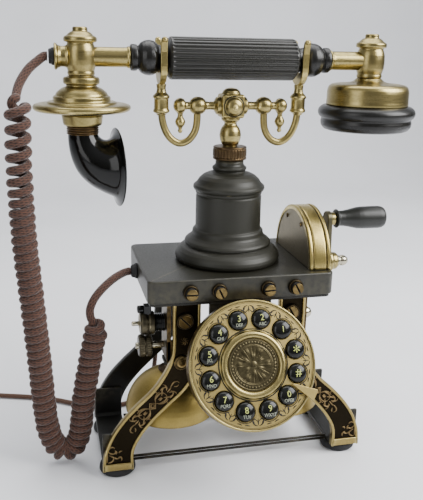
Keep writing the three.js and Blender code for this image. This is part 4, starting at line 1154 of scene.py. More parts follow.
for side, name in SIDES:
    out = np.array([side, 1, 1])
    turned(f"hook_arm_{name}", ARM, (0, 0, CUBE_HEIGHT), "cradle", turned_brass, sides=48, radius=0.4,
           axis=facing((side, 0, 0)), replaces=(f"cradle_hook_{name}",), slot="brass")
    rod(f"hook_bar_{name}", np.array(HOOK) * out, 2.5, "cradle", brass, count=72, sides=20, slot="brass")
    turned(f"hook_drop_{name}", DROP, (side * 35.5, 0, 0), "cradle", turned_brass, sides=32, radius=0.3,
           slot="brass")
    turned(f"hook_collar_{name}", COLLAR_ON_HOOK, (side * FORK_X, 0, 0), "cradle", turned_brass, sides=48,
           radius=0.4, slot="brass")
    plate(f"fork_{name}", fork_outline(), FORK_THICK, "cradle", brass, 0.7, turn=ACROSS,
          centre=(side * FORK_X - FORK_THICK / 2, 0, 0), slot="brass")
    for y in (-FORK_OUTER - 0.9, FORK_OUTER + 0.9):
        turned(f"fork_tip_{name}_{'front' if y < 0 else 'rear'}",
               [(0, -1.9), (1.6, -1.4), (2.3, 0), (1.6, 1.4), (0, 1.9)], (side * FORK_X, y, FORK_TOP - 0.4),
               "cradle", brass, sides=24, radius=0.6, slot="brass")

# %% [markdown]
# ## Handset
# A fluted black grip between black balls, brass tubes out to two turned uprights, the mouthpiece
# horn hanging under one and the earpiece under the other. Everything here moves together.

# %% Fluted grip with its ends
HANDSET_HEIGHT, FLUTES, FLUTE_DEEP = 287.0, 28, 0.75


def flutes(height, angle, radius):
    """Narrow grooves FLUTES times round: a cosine hump to the power 2.5, FLUTE_DEEP deep."""
    middle = np.clip((42.6 - np.abs(height)) / 0.6, 0, 1)
    return -FLUTE_DEEP * middle * (0.5 - 0.5 * np.cos(FLUTES * angle)) ** 2.5


GRIP = [(0, -43.6), (12.4, -43.6), (13.6, -43.0), (13.9, -42.2), (13.9, -40), (13.9, 0), (13.9, 40),
        (13.9, 42.2), (13.6, 43.0), (12.4, 43.6), (0, 43.6)]
grip_satin = patinated("grip_satin", (26, 25, 18), (17, 16, 12), 0.26, 0.36, cloud=30, metallic=0.1,
                       bump_mm=0.006, rub=(74, 70, 56), coat=0.1)
turned("grip_fluted", GRIP, (0, 0, HANDSET_HEIGHT), "handset", grip_satin, axis=facing((1, 0, 0)),
       sides=FLUTES * 12, radius=0.2, wave=flutes, replaces=("handset_grip",), slot="gloss_black")
GRIP_END = [(0, 42), (12.9, 42.6), (12.9, 43.8), (9.8, 44.6), (8.4, 46), (8.0, 48.4), (8.4, 50.8),
            (10.2, 52.8), (11.0, 54.2), (11.4, 56.6), (11.0, 59.4), (9.8, 62.0), (7.8, 63.8), (7.4, 64.2),
            (8.4, 65.0), (8.6, 67), (8.4, 68.8), (6.4, 69.5), (0, 69.5)]
for side, name in SIDES:
    turned(f"grip_ball_{name}", GRIP_END, (0, 0, HANDSET_HEIGHT), "handset", satin_black,
           axis=facing((side, 0, 0)), sides=72, radius=0.5, slot="gloss_black")

# %% Brass arms and uprights
UPRIGHT_X = 101.0
TUBE = [(0, 69.6), (6.9, 69.6), (7.1, 70.4), (6.4, 71.4), (6.3, 73), (6.3, 92), (6.3, 95), (0, 95)]
UPRIGHT = [(0, -11.5), (8.6, -11.5), (8.9, -10.2), (8.5, -8.8), (9.0, -7.4), (9.7, -5), (10.0, -2),
           (10.0, 1), (9.8, 4), (9.1, 6.6), (8.4, 8.2), (8.6, 8.8), (10.4, 9.3), (10.7, 10.2), (10.7, 11.6),
           (10.1, 12.4), (8.6, 13.2), (7.2, 14.6), (6.0, 15.4), (5.0, 15.6), (4.8, 16.4), (4.8, 17.8),
           (4.2, 18.4), (0, 18.5)]
for side, name, node in ((-1, "left", "transmitter_arm"), (1, "right", "receiver_arm")):
    turned(f"arm_tube_{name}", TUBE, (0, 0, HANDSET_HEIGHT), "handset", turned_brass,
           axis=facing((side, 0, 0)), sides=48, radius=0.3, replaces=(node,), slot="brass")
    turned(f"upright_{name}", UPRIGHT, (side * UPRIGHT_X, 0, HANDSET_HEIGHT), "handset", turned_brass,
           sides=72, radius=0.4, slot="brass")
STUB = [(0, 6), (7.4, 8.4), (6.6, 10), (6.4, 12.4), (7.2, 14.4), (8.3, 15.4), (8.5, 16.4), (7.6, 16.9),
        (0, 17)]
STUB_RING = [(0, 16.6), (5.4, 16.8), (5.6, 17.4), (5.4, 18.4), (4.8, 18.8), (4.9, 19.8), (4.2, 20.3),
             (0, 20.3)]
turned("cord_stub", STUB, (-UPRIGHT_X, 0, HANDSET_HEIGHT), "handset", turned_brass,
       axis=facing((-1, 0, 0)), sides=48, slot="brass")
turned("cord_stub_ring", STUB_RING, (-UPRIGHT_X, 0, HANDSET_HEIGHT), "handset", rubber,
       axis=facing((-1, 0, 0)), sides=48, slot="rubber")

# %% Transmitter cup
CUP = [(0, 250.8), (12.6, 251), (14.6, 251.8), (22, 252.2), (29.4, 252.5), (31, 253.2), (31.8, 254.4),
       (31.8, 255.6), (31, 256.7), (29.2, 257.3), (25, 257.4), (22.8, 257.5), (22.5, 258.6), (21.4, 259),
       (19, 259.1), (18.7, 259.8), (18.7, 261.6), (18.1, 262.3), (17.2, 262.6), (16.6, 264), (15.2, 265.6),
       (13.2, 267), (11.4, 267.9), (10.0, 268.3), (9.8, 269.4), (11.4, 269.9), (11.8, 270.8), (11.8, 273.2),
       (11.2, 274.2), (9.2, 274.6), (8.8, 275.2), (0, 275.3)]
UNDER_RING = [(0, 243.2), (11.6, 243.2), (12.4, 243.7), (12.8, 244.8), (13.1, 247), (13.5, 249.4),
              (13.3, 250.3), (12.4, 250.8), (10.6, 251.0), (0, 251)]
turned("cup_disc", CUP, (-UPRIGHT_X, 0, 0), "handset", turned_brass, sides=112, radius=0.5,
       replaces=("transmitter_cup",), slot="brass")


def threads(height, angle, radius):
    """A coarse thread: the radius rises and falls once every 1.5 mm of height."""
    return 0.4 * np.sin(2 * np.pi * height / 1.5 + angle) * (radius > 9)


turned("cup_under_ring", UNDER_RING, (-UPRIGHT_X, 0, 0), "handset", turned_brass, sides=80, slot="brass")
turned("cup_thread", [(0, 237.6)] + [(10.4, z) for z in np.linspace(237.8, 243.4, 36)] + [(0, 243.5)],
       (-UPRIGHT_X, 0, 0), "handset", collar_bronze, sides=72, radius=0, wave=threads, slot="bronze")

# %% Mouthpiece horn: rings from the throat to the flared mouth, then back down the inside
HORN_LINES = [(-91.6, 242.9, -110.5, 242.9), (-91.6, 239.5, -110.8, 233), (-90.6, 236.4, -109.2, 222),
              (-88.2, 234.2, -104.8, 211.6), (-85.4, 233.5, -97.2, 203.4), (-82.8, 234.4, -88.4, 198),
              (-80.9, 236.4, -81.8, 194.8), (-79.9, 238.8, -79.9, 191.8), (-79.3, 241.4, -78.8, 188.4)]
HORN_WALL, HORN_ROUND, HORN_SWING = 1.5, 80, 0.12


def horn_rings(count, wall=0.0):
    """The horn bends in the plane y = 0, between an inner line (x1, z1) and an outer one (x2, z2).
    Each ring is round and lies across the two lines: its centre is half way between them and its
    radius half their distance, less the wall. Towards the mouth they swing back a little, so that
    the near side leads."""
    lines = smooth_route(HORN_LINES, count)
    centre, half = (lines[:, :2] + lines[:, 2:]) / 2, (lines[:, :2] - lines[:, 2:]) / 2
    radius = np.linalg.norm(half, axis=1)[:, None]
    unit = half / radius
    angle = np.linspace(0, 2 * np.pi, HORN_ROUND, endpoint=False)
    r = radius - wall
    swing = HORN_SWING * np.linspace(0, 1, count)[:, None] ** 2
    across = r * np.sin(angle)
    return np.stack([centre[:, :1] + r * unit[:, :1] * np.cos(angle) - swing * across, across,
                     centre[:, 1:] + r * unit[:, 1:] * np.cos(angle)], -1)


outside, inside = horn_rings(60), horn_rings(60, HORN_WALL)
mouth_out = np.array([1.0, 0.0, 0.0])
lip_angle = np.linspace(0, np.pi, 9)[1:-1, None, None]
lip_middle, lip_half = (outside[-1] + inside[-1]) / 2, (outside[-1] - inside[-1]) / 2
lip = lip_middle + lip_half * np.cos(lip_angle) * 1.1 + mouth_out * np.sin(lip_angle) * 0.8
horn_grid = np.concatenate([outside, lip, inside[::-1]])
place_piece("horn", grid_mesh("horn", at(horn_grid)), "handset", gloss_black, replaces=("mouth_horn",),
            slot="gloss_black")

# %% Earpiece: brass shell over a black cap
SHELL = [(0, 250), (28.6, 256.3), (29.0, 257), (29.1, 258.4), (28.9, 260), (28.9, 265.6), (28.6, 267.8),
         (27.8, 269.6), (26.0, 270.9), (22.6, 271.6), (16.4, 272.0), (13.2, 272.5), (11.0, 273.2),
         (9.6, 274.3), (8.8, 275.3), (0, 275.3)]
CAP = [(0, 247.6), (7, 246.4), (8.6, 245.0), (14, 243.6), (20, 242.6), (23.4, 241), (25, 239.6),
       (27.6, 238.7), (30.2, 239.6), (32.0, 242.0), (32.4, 244.6), (32.0, 246.6), (32.3, 247.6),
       (33.6, 248.4), (34.5, 250.4), (34.6, 252), (34.0, 253.8), (32.6, 255.2), (30.8, 256.2), (28, 256.4),
       (0, 256.4)]
turned("ear_shell", SHELL, (UPRIGHT_X, 0, 0), "handset", turned_brass, sides=112, radius=0.5,
       replaces=("receiver_shell",), slot="brass")
turned("ear_cap_black", CAP, (UPRIGHT_X, 0, 0), "handset", satin_black, sides=112, radius=0.6,
       replaces=("ear_cap",), slot="gloss_black")

# %% [markdown]
# ## Dial
# The round dial leans back under the box. It looks like a finger wheel but holds twelve press
# buttons: a deep rim, a brass face with twelve holes and an engraved border, a raised ring round a
# bronze medallion, and the fixed finger stop. Everything is worked out flat, as (x, y, height) in
# the dial's own plane, and `on_dial` leans it into place.

# %% Dial plane
DIAL_CENTRE, DIAL_LEAN = np.array([0.0, -75.0, 96.2]), math.radians(25)
DIAL_TURN = np.column_stack([[1, 0, 0], [0, math.sin(DIAL_LEAN), math.cos(DIAL_LEAN)],
                             [0, -math.cos(DIAL_LEAN), math.sin(DIAL_LEAN)]])
FACE_RADIUS, FACE_TOP, FACE_BOTTOM = 41.2, -0.2, -1.6
HOLE_RING, HOLE_RADIUS, BUTTON_RADIUS = 30.4, 6.55, 6.2
RING_INNER = 17.4


def on_dial(points):
    """Dial points in millimetres -> frame points in metres."""
    return at(np.asarray(points, float) @ DIAL_TURN.T + DIAL_CENTRE)


def dial_turned(name, profile, material, **more):
    """A piece turned about the dial's own axis, at rest on the base."""
    turned(name, profile, DIAL_CENTRE, "base", material, axis=DIAL_TURN, **more)


RIM = [(0, -12), (38, -12), (41.2, -11.7), (42.5, -10.9), (43, -9.6), (43, -2.0), (42.8, -1.3),
       (41.25, -1.2), (41.25, -10.4), (0, -10.4)]
BEAD = [(41.3, -1.3), (42.6, -1.35), (42.95, -0.9), (42.95, -0.2), (42.6, 0.4), (42.1, 0.65), (41.6, 0.45),
        (41.3, -0.1)]
dial_turned("dial_rim", RIM, rim_brass, sides=144, radius=0.3, replaces=("dial_housing",), slot="brass")
dial_turned("dial_bead", BEAD, turned_brass, sides=144, radius=0.2, ring=True, slot="brass")

# %% Face with twelve round holes
HOLES = 12
HOLE_ANGLES = [math.radians(15 + 30 * k) for k in range(HOLES)]
FACE_INNER = RING_INNER - 0.6
ARC_STEPS, SIDE_STEPS, FACE_RINGS = 12, 14, 5


def sector_outline():
    """The border of one twelfth of the face, anticlockwise from its inner left corner: along a
    radius outwards, round the outer arc, back along the other radius, and the inner arc."""
    half = math.pi / HOLES
    radii = np.linspace(FACE_INNER, FACE_RADIUS, SIDE_STEPS, endpoint=False)
    out = np.stack([radii * math.cos(-half), radii * math.sin(-half)], -1)
    sweep = np.linspace(-half, half, ARC_STEPS, endpoint=False)
    outer = FACE_RADIUS * np.stack([np.cos(sweep), np.sin(sweep)], -1)
    back_radii = np.linspace(FACE_RADIUS, FACE_INNER, SIDE_STEPS, endpoint=False)
    back = np.stack([back_radii * math.cos(half), back_radii * math.sin(half)], -1)
    inner = FACE_INNER * np.stack([np.cos(-sweep), np.sin(-sweep)], -1)
    return np.vstack([out, outer, back, inner])


def face_grids():
    """For each hole, rings from the sector's border on the underside to the hole, up its wall and
    out again on the top. The blend from circle to border is the same on both sides."""
    border = sector_outline()
    centre = np.array([HOLE_RING, 0.0])
    away = border - centre
    hole = centre + HOLE_RADIUS * away / np.linalg.norm(away, axis=1)[:, None]
    bevel = centre + (HOLE_RADIUS + 0.3) * away / np.linalg.norm(away, axis=1)[:, None]
    mix = np.linspace(0, 1, FACE_RINGS)[:, None, None]
    under = border * (1 - mix) + hole * mix
    over = bevel * (1 - mix) + border * mix
    flat = np.concatenate([under, hole[None], over])
    height = np.concatenate([np.full(FACE_RINGS, FACE_BOTTOM), [FACE_TOP - 0.3],
                             np.full(FACE_RINGS, FACE_TOP)])
    sector = np.concatenate([flat, np.broadcast_to(height[:, None, None], (*flat.shape[:2], 1))], -1)
    grids = []
    for a in HOLE_ANGLES:
        spin = np.array([[math.cos(a), -math.sin(a), 0], [math.sin(a), math.cos(a), 0], [0, 0, 1]])
        grids.append(sector @ spin.T)
    return grids


def welded(mesh, near_mm=0.002):
    """The mesh with vertices closer than near_mm made one, and its faces turned the same way."""
    work = bmesh.new()
    work.from_mesh(mesh)
    bmesh.ops.remove_doubles(work, verts=work.verts, dist=near_mm * MM)
    bmesh.ops.recalc_face_normals(work, faces=work.faces)
    work.to_mesh(mesh)
    work.free()
    return mesh


face_walls = [np.stack([np.column_stack([r * np.cos(a), r * np.sin(a), np.full(len(a), z)])
                        for z in (FACE_BOTTOM, FACE_TOP)])
              for r in (FACE_RADIUS, FACE_INNER)
              for a in [np.linspace(0, 2 * np.pi, HOLES * ARC_STEPS, endpoint=False)]]
face_parts = [on_dial(g) for g in face_grids() + face_walls]
face_mesh = welded(many_grids("dial_face", face_parts, close_ends=False))
place_piece("dial_face_plate", face_mesh, "base", dial_brass, replaces=("dial_face",), slot="brass",
            smooth=False)

# %% Raised ring and medallion
RING = [(RING_INNER - 0.5, -0.15), (22.9, -0.15), (22.9, 0.25), (22.4, 0.45), (21.9, 1.5), (21.2, 2.25),
        (20.0, 2.6), (18.8, 2.45), (17.9, 1.9), (17.4, 1.1), (17.0, 0.4)]
dial_turned("dial_ring", RING, turned_brass, sides=128, radius=0.3, ring=True,
            replaces=("dial_medallion",), slot="brass")
for name, low, high in (("outer", 22.9, 23.7), ("inner", 16.4, 17.5)):
    dial_turned(f"dial_ring_shadow_{name}", [(low, -0.3), (high, -0.3), (high, -0.12), (low, -0.12)],
                engraving_and_shade_dark, sides=96, radius=0, ring=True, slot="bronze")


def bump(r, middle, width):
    """A bell over the radius: e to the power of minus ((r - middle) / width) squared."""
    return np.exp(-((r - middle) / width) ** 2)


def medallion_height(r, a):
    """A generic coin: a border of beads, two fine rings, and a twelve-petalled rosette round a
    domed middle. Each is a smooth bump in radius times a cosine in angle."""
    beads = 0.28 * bump(r, 14.7, 0.55) * (0.5 + 0.5 * np.cos(44 * a)) ** 1.5
    lines = 0.26 * bump(r, 16.2, 0.22) + 0.24 * bump(r, 12.9, 0.2) + 0.16 * bump(r, 12.2, 0.15)
    outer = 0.36 * bump(r, 9.6, 1.9) * np.clip(np.cos(6 * a), 0, 1) ** 0.8
    inner = 0.4 * bump(r, 5.4, 1.7) * np.clip(np.cos(6 * a + np.pi), 0, 1) ** 0.8
    veins = -0.22 * bump(r, 8.4, 3.4) * np.clip(np.cos(12 * a), 0, 1) ** 16
    middle = 0.5 * np.sqrt(np.clip(1 - (r / 2.3) ** 2, 0, 1))
    rivets = 0.5 * sum(np.exp(-((r * np.cos(a) - x) ** 2 + (r * np.sin(a)) ** 2) / 0.35) for x in (-14.7,
                                                                                                   14.7))
    return beads + lines + outer + inner + veins + middle + rivets


def medallion_grid():
    r = np.concatenate([[0.15], np.linspace(0.4, 17.0, 84)])[:, None]
    a = np.linspace(0, 2 * np.pi, 264, endpoint=False)[None, :]
    top = 0.55 + medallion_height(r, a)
    grid = np.stack([r * np.cos(a), r * np.sin(a), top], -1)
    foot = grid[-1:] * np.array([1, 1, 0]) + np.array([0, 0, -0.1])
    middle = np.stack([0.2 * np.cos(a[0]), 0.2 * np.sin(a[0]), np.full(a.shape[1], -0.1)], -1)[None]
    return np.concatenate([grid, foot, middle])


place_piece("medallion", grid_mesh("medallion", on_dial(medallion_grid())), "base", medal_bronze,
            slot="bronze")

# %% Engraved border: twelve pairs of dark scrolls and a fine line inside the rim
BORDER_RADIUS, SPREAD_RADIUS = 40.0, 37.5
ORNAMENT_CLEAR, BOW_RADIUS = 7.3, 7.5


def ornament_sector():
    """Vines as (along, in) millimetres at the gap between two holes: along is round the dial, in
    is towards its middle, both from the border line."""
    half = [vine((0.4, 3.8), 42, 0, -38, 7.6), vine((0.5, 1.0), 12, 8, 26, 5.6),
            vine((2.6, 1.9), 70, 10, -60, 3.2), vine((5.6, 1.0), 8, 6, -40, 3.4)]
    return [v * np.array([flip, 1]) for v in half for flip in (1, -1)] + [vine((0, 1.4), 90, 0, 0, 4.2)]


def round_the_dial(points, middle_degrees, height):
    """Lays (along, in) points round the dial: r = border - in, angle = middle + along / spread."""
    r = BORDER_RADIUS - points[:, 1]
    a = math.radians(middle_degrees) + points[:, 0] / SPREAD_RADIUS
    return np.stack([r * np.cos(a), r * np.sin(a), np.full(len(r), height)], -1)


def clear_of_holes(points):
    """Moves points that lie too near a hole straight out from its centre, to a ring just outside it."""
    for a in HOLE_ANGLES:
        centre = HOLE_RING * np.array([math.cos(a), math.sin(a)])
        away = points[:, :2] - centre
        far = np.linalg.norm(away, axis=1, keepdims=True)
        points[:, :2] = centre + away * np.maximum(far, ORNAMENT_CLEAR) / far
    return points


def engraving(points, thick):
    """A low dark strand: a flat ribbon section, pinched at both ends."""
    t = np.linspace(0, 1, len(points))
    size = thick * (0.4 + 0.6 * np.sin(np.pi * t))
    return swept_points(points, circle(1.0, 6) * [0.5, 1.0], (0, 0, 1), size)


border_grids = [engraving(clear_of_holes(round_the_dial(v, 30 * k, FACE_TOP)), 0.42)
                for k in range(HOLES) for v in ornament_sector()]
bow = np.radians(np.linspace(-74, 74, 30))
for a in HOLE_ANGLES:
    arc = np.stack([HOLE_RING + BOW_RADIUS * np.cos(bow), BOW_RADIUS * np.sin(bow)], -1)
    arc = arc @ np.array([[math.cos(a), math.sin(a)], [-math.sin(a), math.cos(a)]])
    border_grids.append(engraving(np.column_stack([arc, np.full(len(arc), FACE_TOP)]), 0.32))
place_piece("dial_engraving", many_grids("dial_engraving", [on_dial(g) for g in border_grids]), "base",
            engraving_and_shade_dark, slot="bronze")
for name, radius in (("outer", 40.5), ("rim", 41.2)):
    line_ring = [(radius - 0.12, FACE_TOP - 0.1), (radius + 0.12, FACE_TOP - 0.1),
                 (radius + 0.12, FACE_TOP + 0.06), (radius - 0.12, FACE_TOP + 0.06)]
    dial_turned(f"dial_line_{name}", line_ring, engraving_and_shade_dark, sides=144, radius=0, ring=True, slot="bronze")

# %% Buttons with their legends
BUTTON_DOME, BUTTON_EDGE = 2.7, 0.7
LEGEND_SIZES = {"star": 11.5, "hash": 7.2}
LEGENDS = [("3", "DEF", 105), ("2", "ABC", 75), ("1", "", 45), ("star", "", 15), ("hash", "", -15),
           ("0", "OPER", -45), ("9", "WXYZ", -75), ("8", "TUV", -105), ("7", "PQRS", -135),
           ("6", "MNO", -165), ("5", "JKL", 165), ("4", "GHI", 135)]
PRINTED = {"star": "*", "hash": "#"}


def dome_height(x, y):
    """Height of the button's face: an ellipse over its radius."""
    return BUTTON_EDGE + BUTTON_DOME * np.sqrt(np.clip(1 - (x ** 2 + y ** 2) / BUTTON_RADIUS ** 2, 0.02, 1))


def flat_text(words, size):
    """A word as a flat mesh centred on its own middle: vertices in millimetres and faces, cut into
    strips 0.5 mm wide both ways so that it can bend over the dome."""
    curve = bpy.data.curves.new("legend", "FONT")
    curve.body, curve.size, curve.resolution_u = words, size, 3
    curve.align_x, curve.align_y = "CENTER", "CENTER"
    holder = bpy.data.objects.new("legend", curve)
    bpy.context.scene.collection.objects.link(holder)
    bpy.context.view_layer.update()
    mesh = bpy.data.meshes.new_from_object(holder.evaluated_get(bpy.context.evaluated_depsgraph_get()))
    bpy.data.objects.remove(holder)
    work = bmesh.new()
    work.from_mesh(mesh)
    for axis in (0, 1):
        normal = (1, 0, 0) if axis == 0 else (0, 1, 0)
        for cut in np.arange(-5, 5.01, 0.5):
            place = [0, 0, 0]
            place[axis] = float(cut)
            bmesh.ops.bisect_plane(work, geom=work.verts[:] + work.edges[:] + work.faces[:],
                                   plane_co=place, plane_no=normal)
    work.to_mesh(mesh)
    work.free()
    return mesh


def legend(name, words, size, offset_y, stretch, centre, body, material):
    """Text bent over a button's dome, its height the dome's plus a hair."""
    mesh = flat_text(words, size)
    flat = np.empty(len(mesh.vertices) * 3)
    mesh.vertices.foreach_get("co", flat)
    flat = flat.reshape(-1, 3)
    flat[:, :2] -= (flat[:, :2].max(0) + flat[:, :2].min(0)) / 2
    x, y = flat[:, 0] * stretch, flat[:, 1] + offset_y
    draped = np.stack([x + centre[0], y + centre[1], dome_height(x, y) + 0.03], -1)
    mesh.vertices.foreach_set("co", on_dial(draped).ravel())
    piece = bpy.data.objects.new(name, mesh)
    bpy.context.scene.collection.objects.link(piece)
    mesh.materials.clear()
    mesh.materials.append(material)
    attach(piece, body)
    return piece


button_profile = [(0, -4.6), (7.3, -4.6), (7.3, -3.2), (BUTTON_RADIUS, -3.2)]
button_profile += [(BUTTON_RADIUS * math.cos(t), BUTTON_EDGE + BUTTON_DOME * math.sin(t))
                   for t in np.linspace(0, math.pi / 2, 14)]
for label, letters, degrees in LEGENDS:
    a = math.radians(degrees)
    middle = np.array([HOLE_RING * math.cos(a), HOLE_RING * math.sin(a), 0.0])
    body = f"button_{label}_body"
    centre = DIAL_TURN @ middle + DIAL_CENTRE
    turned(f"button_cap_{label}", button_profile, centre, body, button_black, axis=DIAL_TURN, sides=48,
           radius=0.15, replaces=(f"button_{label}",), slot="gloss_black")
    lift = 1.0 if letters else 0.2
    legend(f"figure_{label}", PRINTED.get(label, label), LEGEND_SIZES.get(label, 5.8), lift, 0.95, middle,
           body, figure_green)
    if letters:
        legend(f"letters_{label}", letters, 3.2, -3.2, 0.86, middle, body, figure_pale)

# %% Finger stop: a wedge that lies over the gap between two buttons
STOP = [(28.6, 0.0), (29.2, -0.45), (46.0, -3.9), (46.4, -3.5), (46.4, 3.5), (46.0, 3.9), (29.2, 0.45)]
stop_angle = math.radians(-30)
stop_spin = np.array([[math.cos(stop_angle), -math.sin(stop_angle), 0],
                      [math.sin(stop_angle), math.cos(stop_angle), 0], [0, 0, 1]])
plate("finger_stop_plate", STOP, 1.5, "base", dial_brass, 0.45, turn=DIAL_TURN @ stop_spin,
      centre=DIAL_CENTRE + DIAL_TURN[:, 2] * 0.95, replaces=("finger_stop",), slot="brass")

# %% [markdown]
# ## Ringer
# Two bell-shaped gongs hang mouth down on pegs from a bar under the box, with the clapper between
# them in front of the coils. Each gong is one thin turned shell, open below.

# %% Gongs and their nuts
GONG_X, GONG_SIDES = 41.0, 120
GONG = [(32.4, 30.2), (33.2, 30.0), (34, 30.8), (34, 32.6), (33.7, 35), (33, 38.4), (31.9, 41.8), (30.4, 45),
        (28.4, 48.4), (26, 51.4), (23.2, 54.2), (20, 56.6), (16.8, 58.6), (13.4, 60.2), (9.6, 61.6),
        (8, 61.9), (0, 62)]
GONG_UNDER = [(0, 60.4), (7.4, 60.3), (12.6, 58.6), (15.8, 57.1), (18.9, 55.2), (22, 52.9), (24.7, 50.4),
              (27, 47.6), (28.9, 44.4), (30.4, 41.2), (31.4, 38), (32.1, 34.6), (32.4, 32)]
gong_brass = patinated("gong_brass", (172, 152, 88), (132, 113, 60), 0.36, 0.5, cloud=40, contrast=0.35,
                       stretch=(0.05, 0.05, 5), rub=(216, 200, 140))
for side, name in SIDES:
    shell = np.array([(0.4, 62.0)] + GONG[::-1][1:] + GONG_UNDER[::-1][:-1] + [(0.4, 60.4)])
    turned(f"gong_shell_{name}", shell, (side * GONG_X, 0, 0), "base", gong_brass, sides=GONG_SIDES,
           radius=0.5, replaces=(f"gong_{name}",), slot="brass")
    turned(f"gong_boss_{name}", [(0, 61.4), (9.4, 61.8), (9.8, 62.4), (9.2, 63.4), (4.6, 64), (4.2, 67.8),
                                 (0, 67.9)], (side * GONG_X, 0, 0), "base", collar_bronze, sides=6 * 8,
           radius=0.3, slot="bronze")

# %% Ringer bar, post, coils and clapper
block("ringer_bar", (-GONG_X - 6, -6, 68), (GONG_X + 6, 6, 71), "base", black_iron, 0.5,
      replaces=("ringer_frame",), slot="black_iron")
block("ringer_post", (-6, 2, 71), (6, 6, 128.7), "base", black_iron, 0.5, slot="black_iron")
copper = patinated("coil_wire", (150, 84, 50), (104, 56, 34), 0.3, 0.45, stretch=(0.1, 0.1, 8), bump_mm=0.05)
for side, name in SIDES:
    turned(f"ringer_coil_{name}", [(0, 76), (7, 76), (7, 77.4), (6.2, 77.6), (6.2, 95.4), (7, 95.6), (7, 97),
                                   (0, 97)], (side * 7.2, -1.6, 0), "base", copper, sides=48, radius=0.2,
           slot="bronze")
CLAPPER_Y = -12.0
for name, low, high in (("ringer_yoke", (-14, -6, 96.6), (14, 3, 98)),
                        ("clapper_ear", (-5, CLAPPER_Y - 5, 76), (5, CLAPPER_Y - 3.5, 90)),
                        ("clapper_ear_root", (-5, CLAPPER_Y - 4, 86), (5, -5, 90))):
    block(name, low, high, "base", black_iron, 0.4, slot="black_iron")
STRIKER = [(0, 28.3), (1.6, 28.6), (3, 29.5), (4.0, 31.2), (4.2, 32.5), (3.9, 34), (3, 35.5), (1.6, 36.4),
           (1.1, 37), (1.1, 76), (2.6, 77), (2.8, 78), (2.8, 82), (2.4, 82.8), (0, 83)]
turned("clapper_rod", STRIKER, (0, CLAPPER_Y, 0), "striker", turned_brass, sides=32, radius=0.3,
       replaces=("clapper",), slot="brass")

# %% [markdown]
# ## Hand generator
# A half round drum stands on the right of the box: a brushed cheek facing left, and round its rim a
# broad brass band between two beads, with a groove on each side whose dark floor is painted shade.
# The crank turns beside it.

# %% Drum
DRUM_X0, DRUM_X1, DRUM_RADIUS, DRUM_Y, DRUM_Z = 49.0, 64.5, 38.0, -3.0, 147.0
DRUM_BOTTOM, CHEEK_RADIUS, CHEEK_SCREWS = 147.3, 34.9, 31


def drum_rim(section):
    """A section of (radius, x) points carried over the half circle from front to back. The ring of
    points stays the same; only its angle changes."""
    section = np.asarray(section, float)
    first = math.asin((DRUM_BOTTOM - DRUM_Z) / DRUM_RADIUS)
    a = np.linspace(first, np.pi - first, 90)[:, None]
    r, x = section[None, :, 0], section[None, :, 1]
    return np.stack([np.broadcast_to(x, (90, len(section))), DRUM_Y - r * np.cos(a), DRUM_Z + r * np.sin(a)],
                    -1)


def drum_band(name, section, finish, **more):
    """A band round the drum: the section's corners are eased, then carried over the half circle."""
    place_piece(name, grid_mesh(name, at(drum_rim(eased(section + section[:1], 0.35)[:-1]))), "base",
                finish, **more)


# The core's dark colour shows only in the two grooves beside the band: painted shade.
drum_band("drum_core", [(1, DRUM_X0 + 0.8), (36.9, DRUM_X0 + 0.8), (36.9, DRUM_X1 - 0.4),
                        (1, DRUM_X1 - 0.4)], engraving_and_shade_dark, replaces=("generator_drum",), slot="bronze")
drum_band("drum_band", [(36.0, 52.3), (37.5, 52.3), (37.8, 53.2), (37.8, 60.3), (37.5, 61.2), (36.0, 61.2)],
          rail_brass, slot="brass")
drum_band("drum_bead_left", [(34.6, DRUM_X0), (37.2, DRUM_X0), (37.9, DRUM_X0 + 0.5), (38, DRUM_X0 + 1.2),
                             (37.8, 51.5), (36.4, 51.6), (34.6, 50.4)], rail_brass, slot="brass")
drum_band("drum_bead_right", [(34, 62.0), (37.8, 62.0), (38, 62.6), (38, DRUM_X1 - 0.6), (37.4, DRUM_X1),
                              (34, DRUM_X1)], rail_brass, slot="brass")


def half_round(radius, low, steps=64):
    """The cheek seen from the side, as (y, z): a half circle closed along the box's top."""
    first = math.asin(max(low - DRUM_Z, 0.0) / radius)
    a = np.linspace(first, np.pi - first, steps)
    return np.stack([DRUM_Y + radius * np.cos(a), DRUM_Z + radius * np.sin(a)], -1)


cheek_finish = patinated("drum_cheek", (146, 136, 110), (104, 96, 76), 0.36, 0.5, cloud=22, contrast=0.35,
                         stretch=(1, 0.06, 4), metallic=0.9, bump_mm=0.02)
for name, x in (("left", DRUM_X0 + 0.3), ("right", DRUM_X1 - 0.9)):
    plate(f"drum_cheek_{name}", half_round(CHEEK_RADIUS, DRUM_BOTTOM), 0.6, "base", cheek_finish, 0.2,
          turn=ACROSS, centre=(x, 0, 0), slot="brass")
for number, degrees in enumerate((62, 118)):
    a = math.radians(degrees)
    turned(f"drum_screw_{number}", [(0, 0), (1.5, 0), (1.7, 0.4), (1.3, 0.9), (0.5, 1.05), (0, 0.8)],
           (DRUM_X0 + 0.3, DRUM_Y - CHEEK_SCREWS * math.cos(a), DRUM_Z + CHEEK_SCREWS * math.sin(a)),
           "base", screw_brass,
           axis=facing((-1, 0, 0)), sides=24, radius=0.15, slot="bronze")

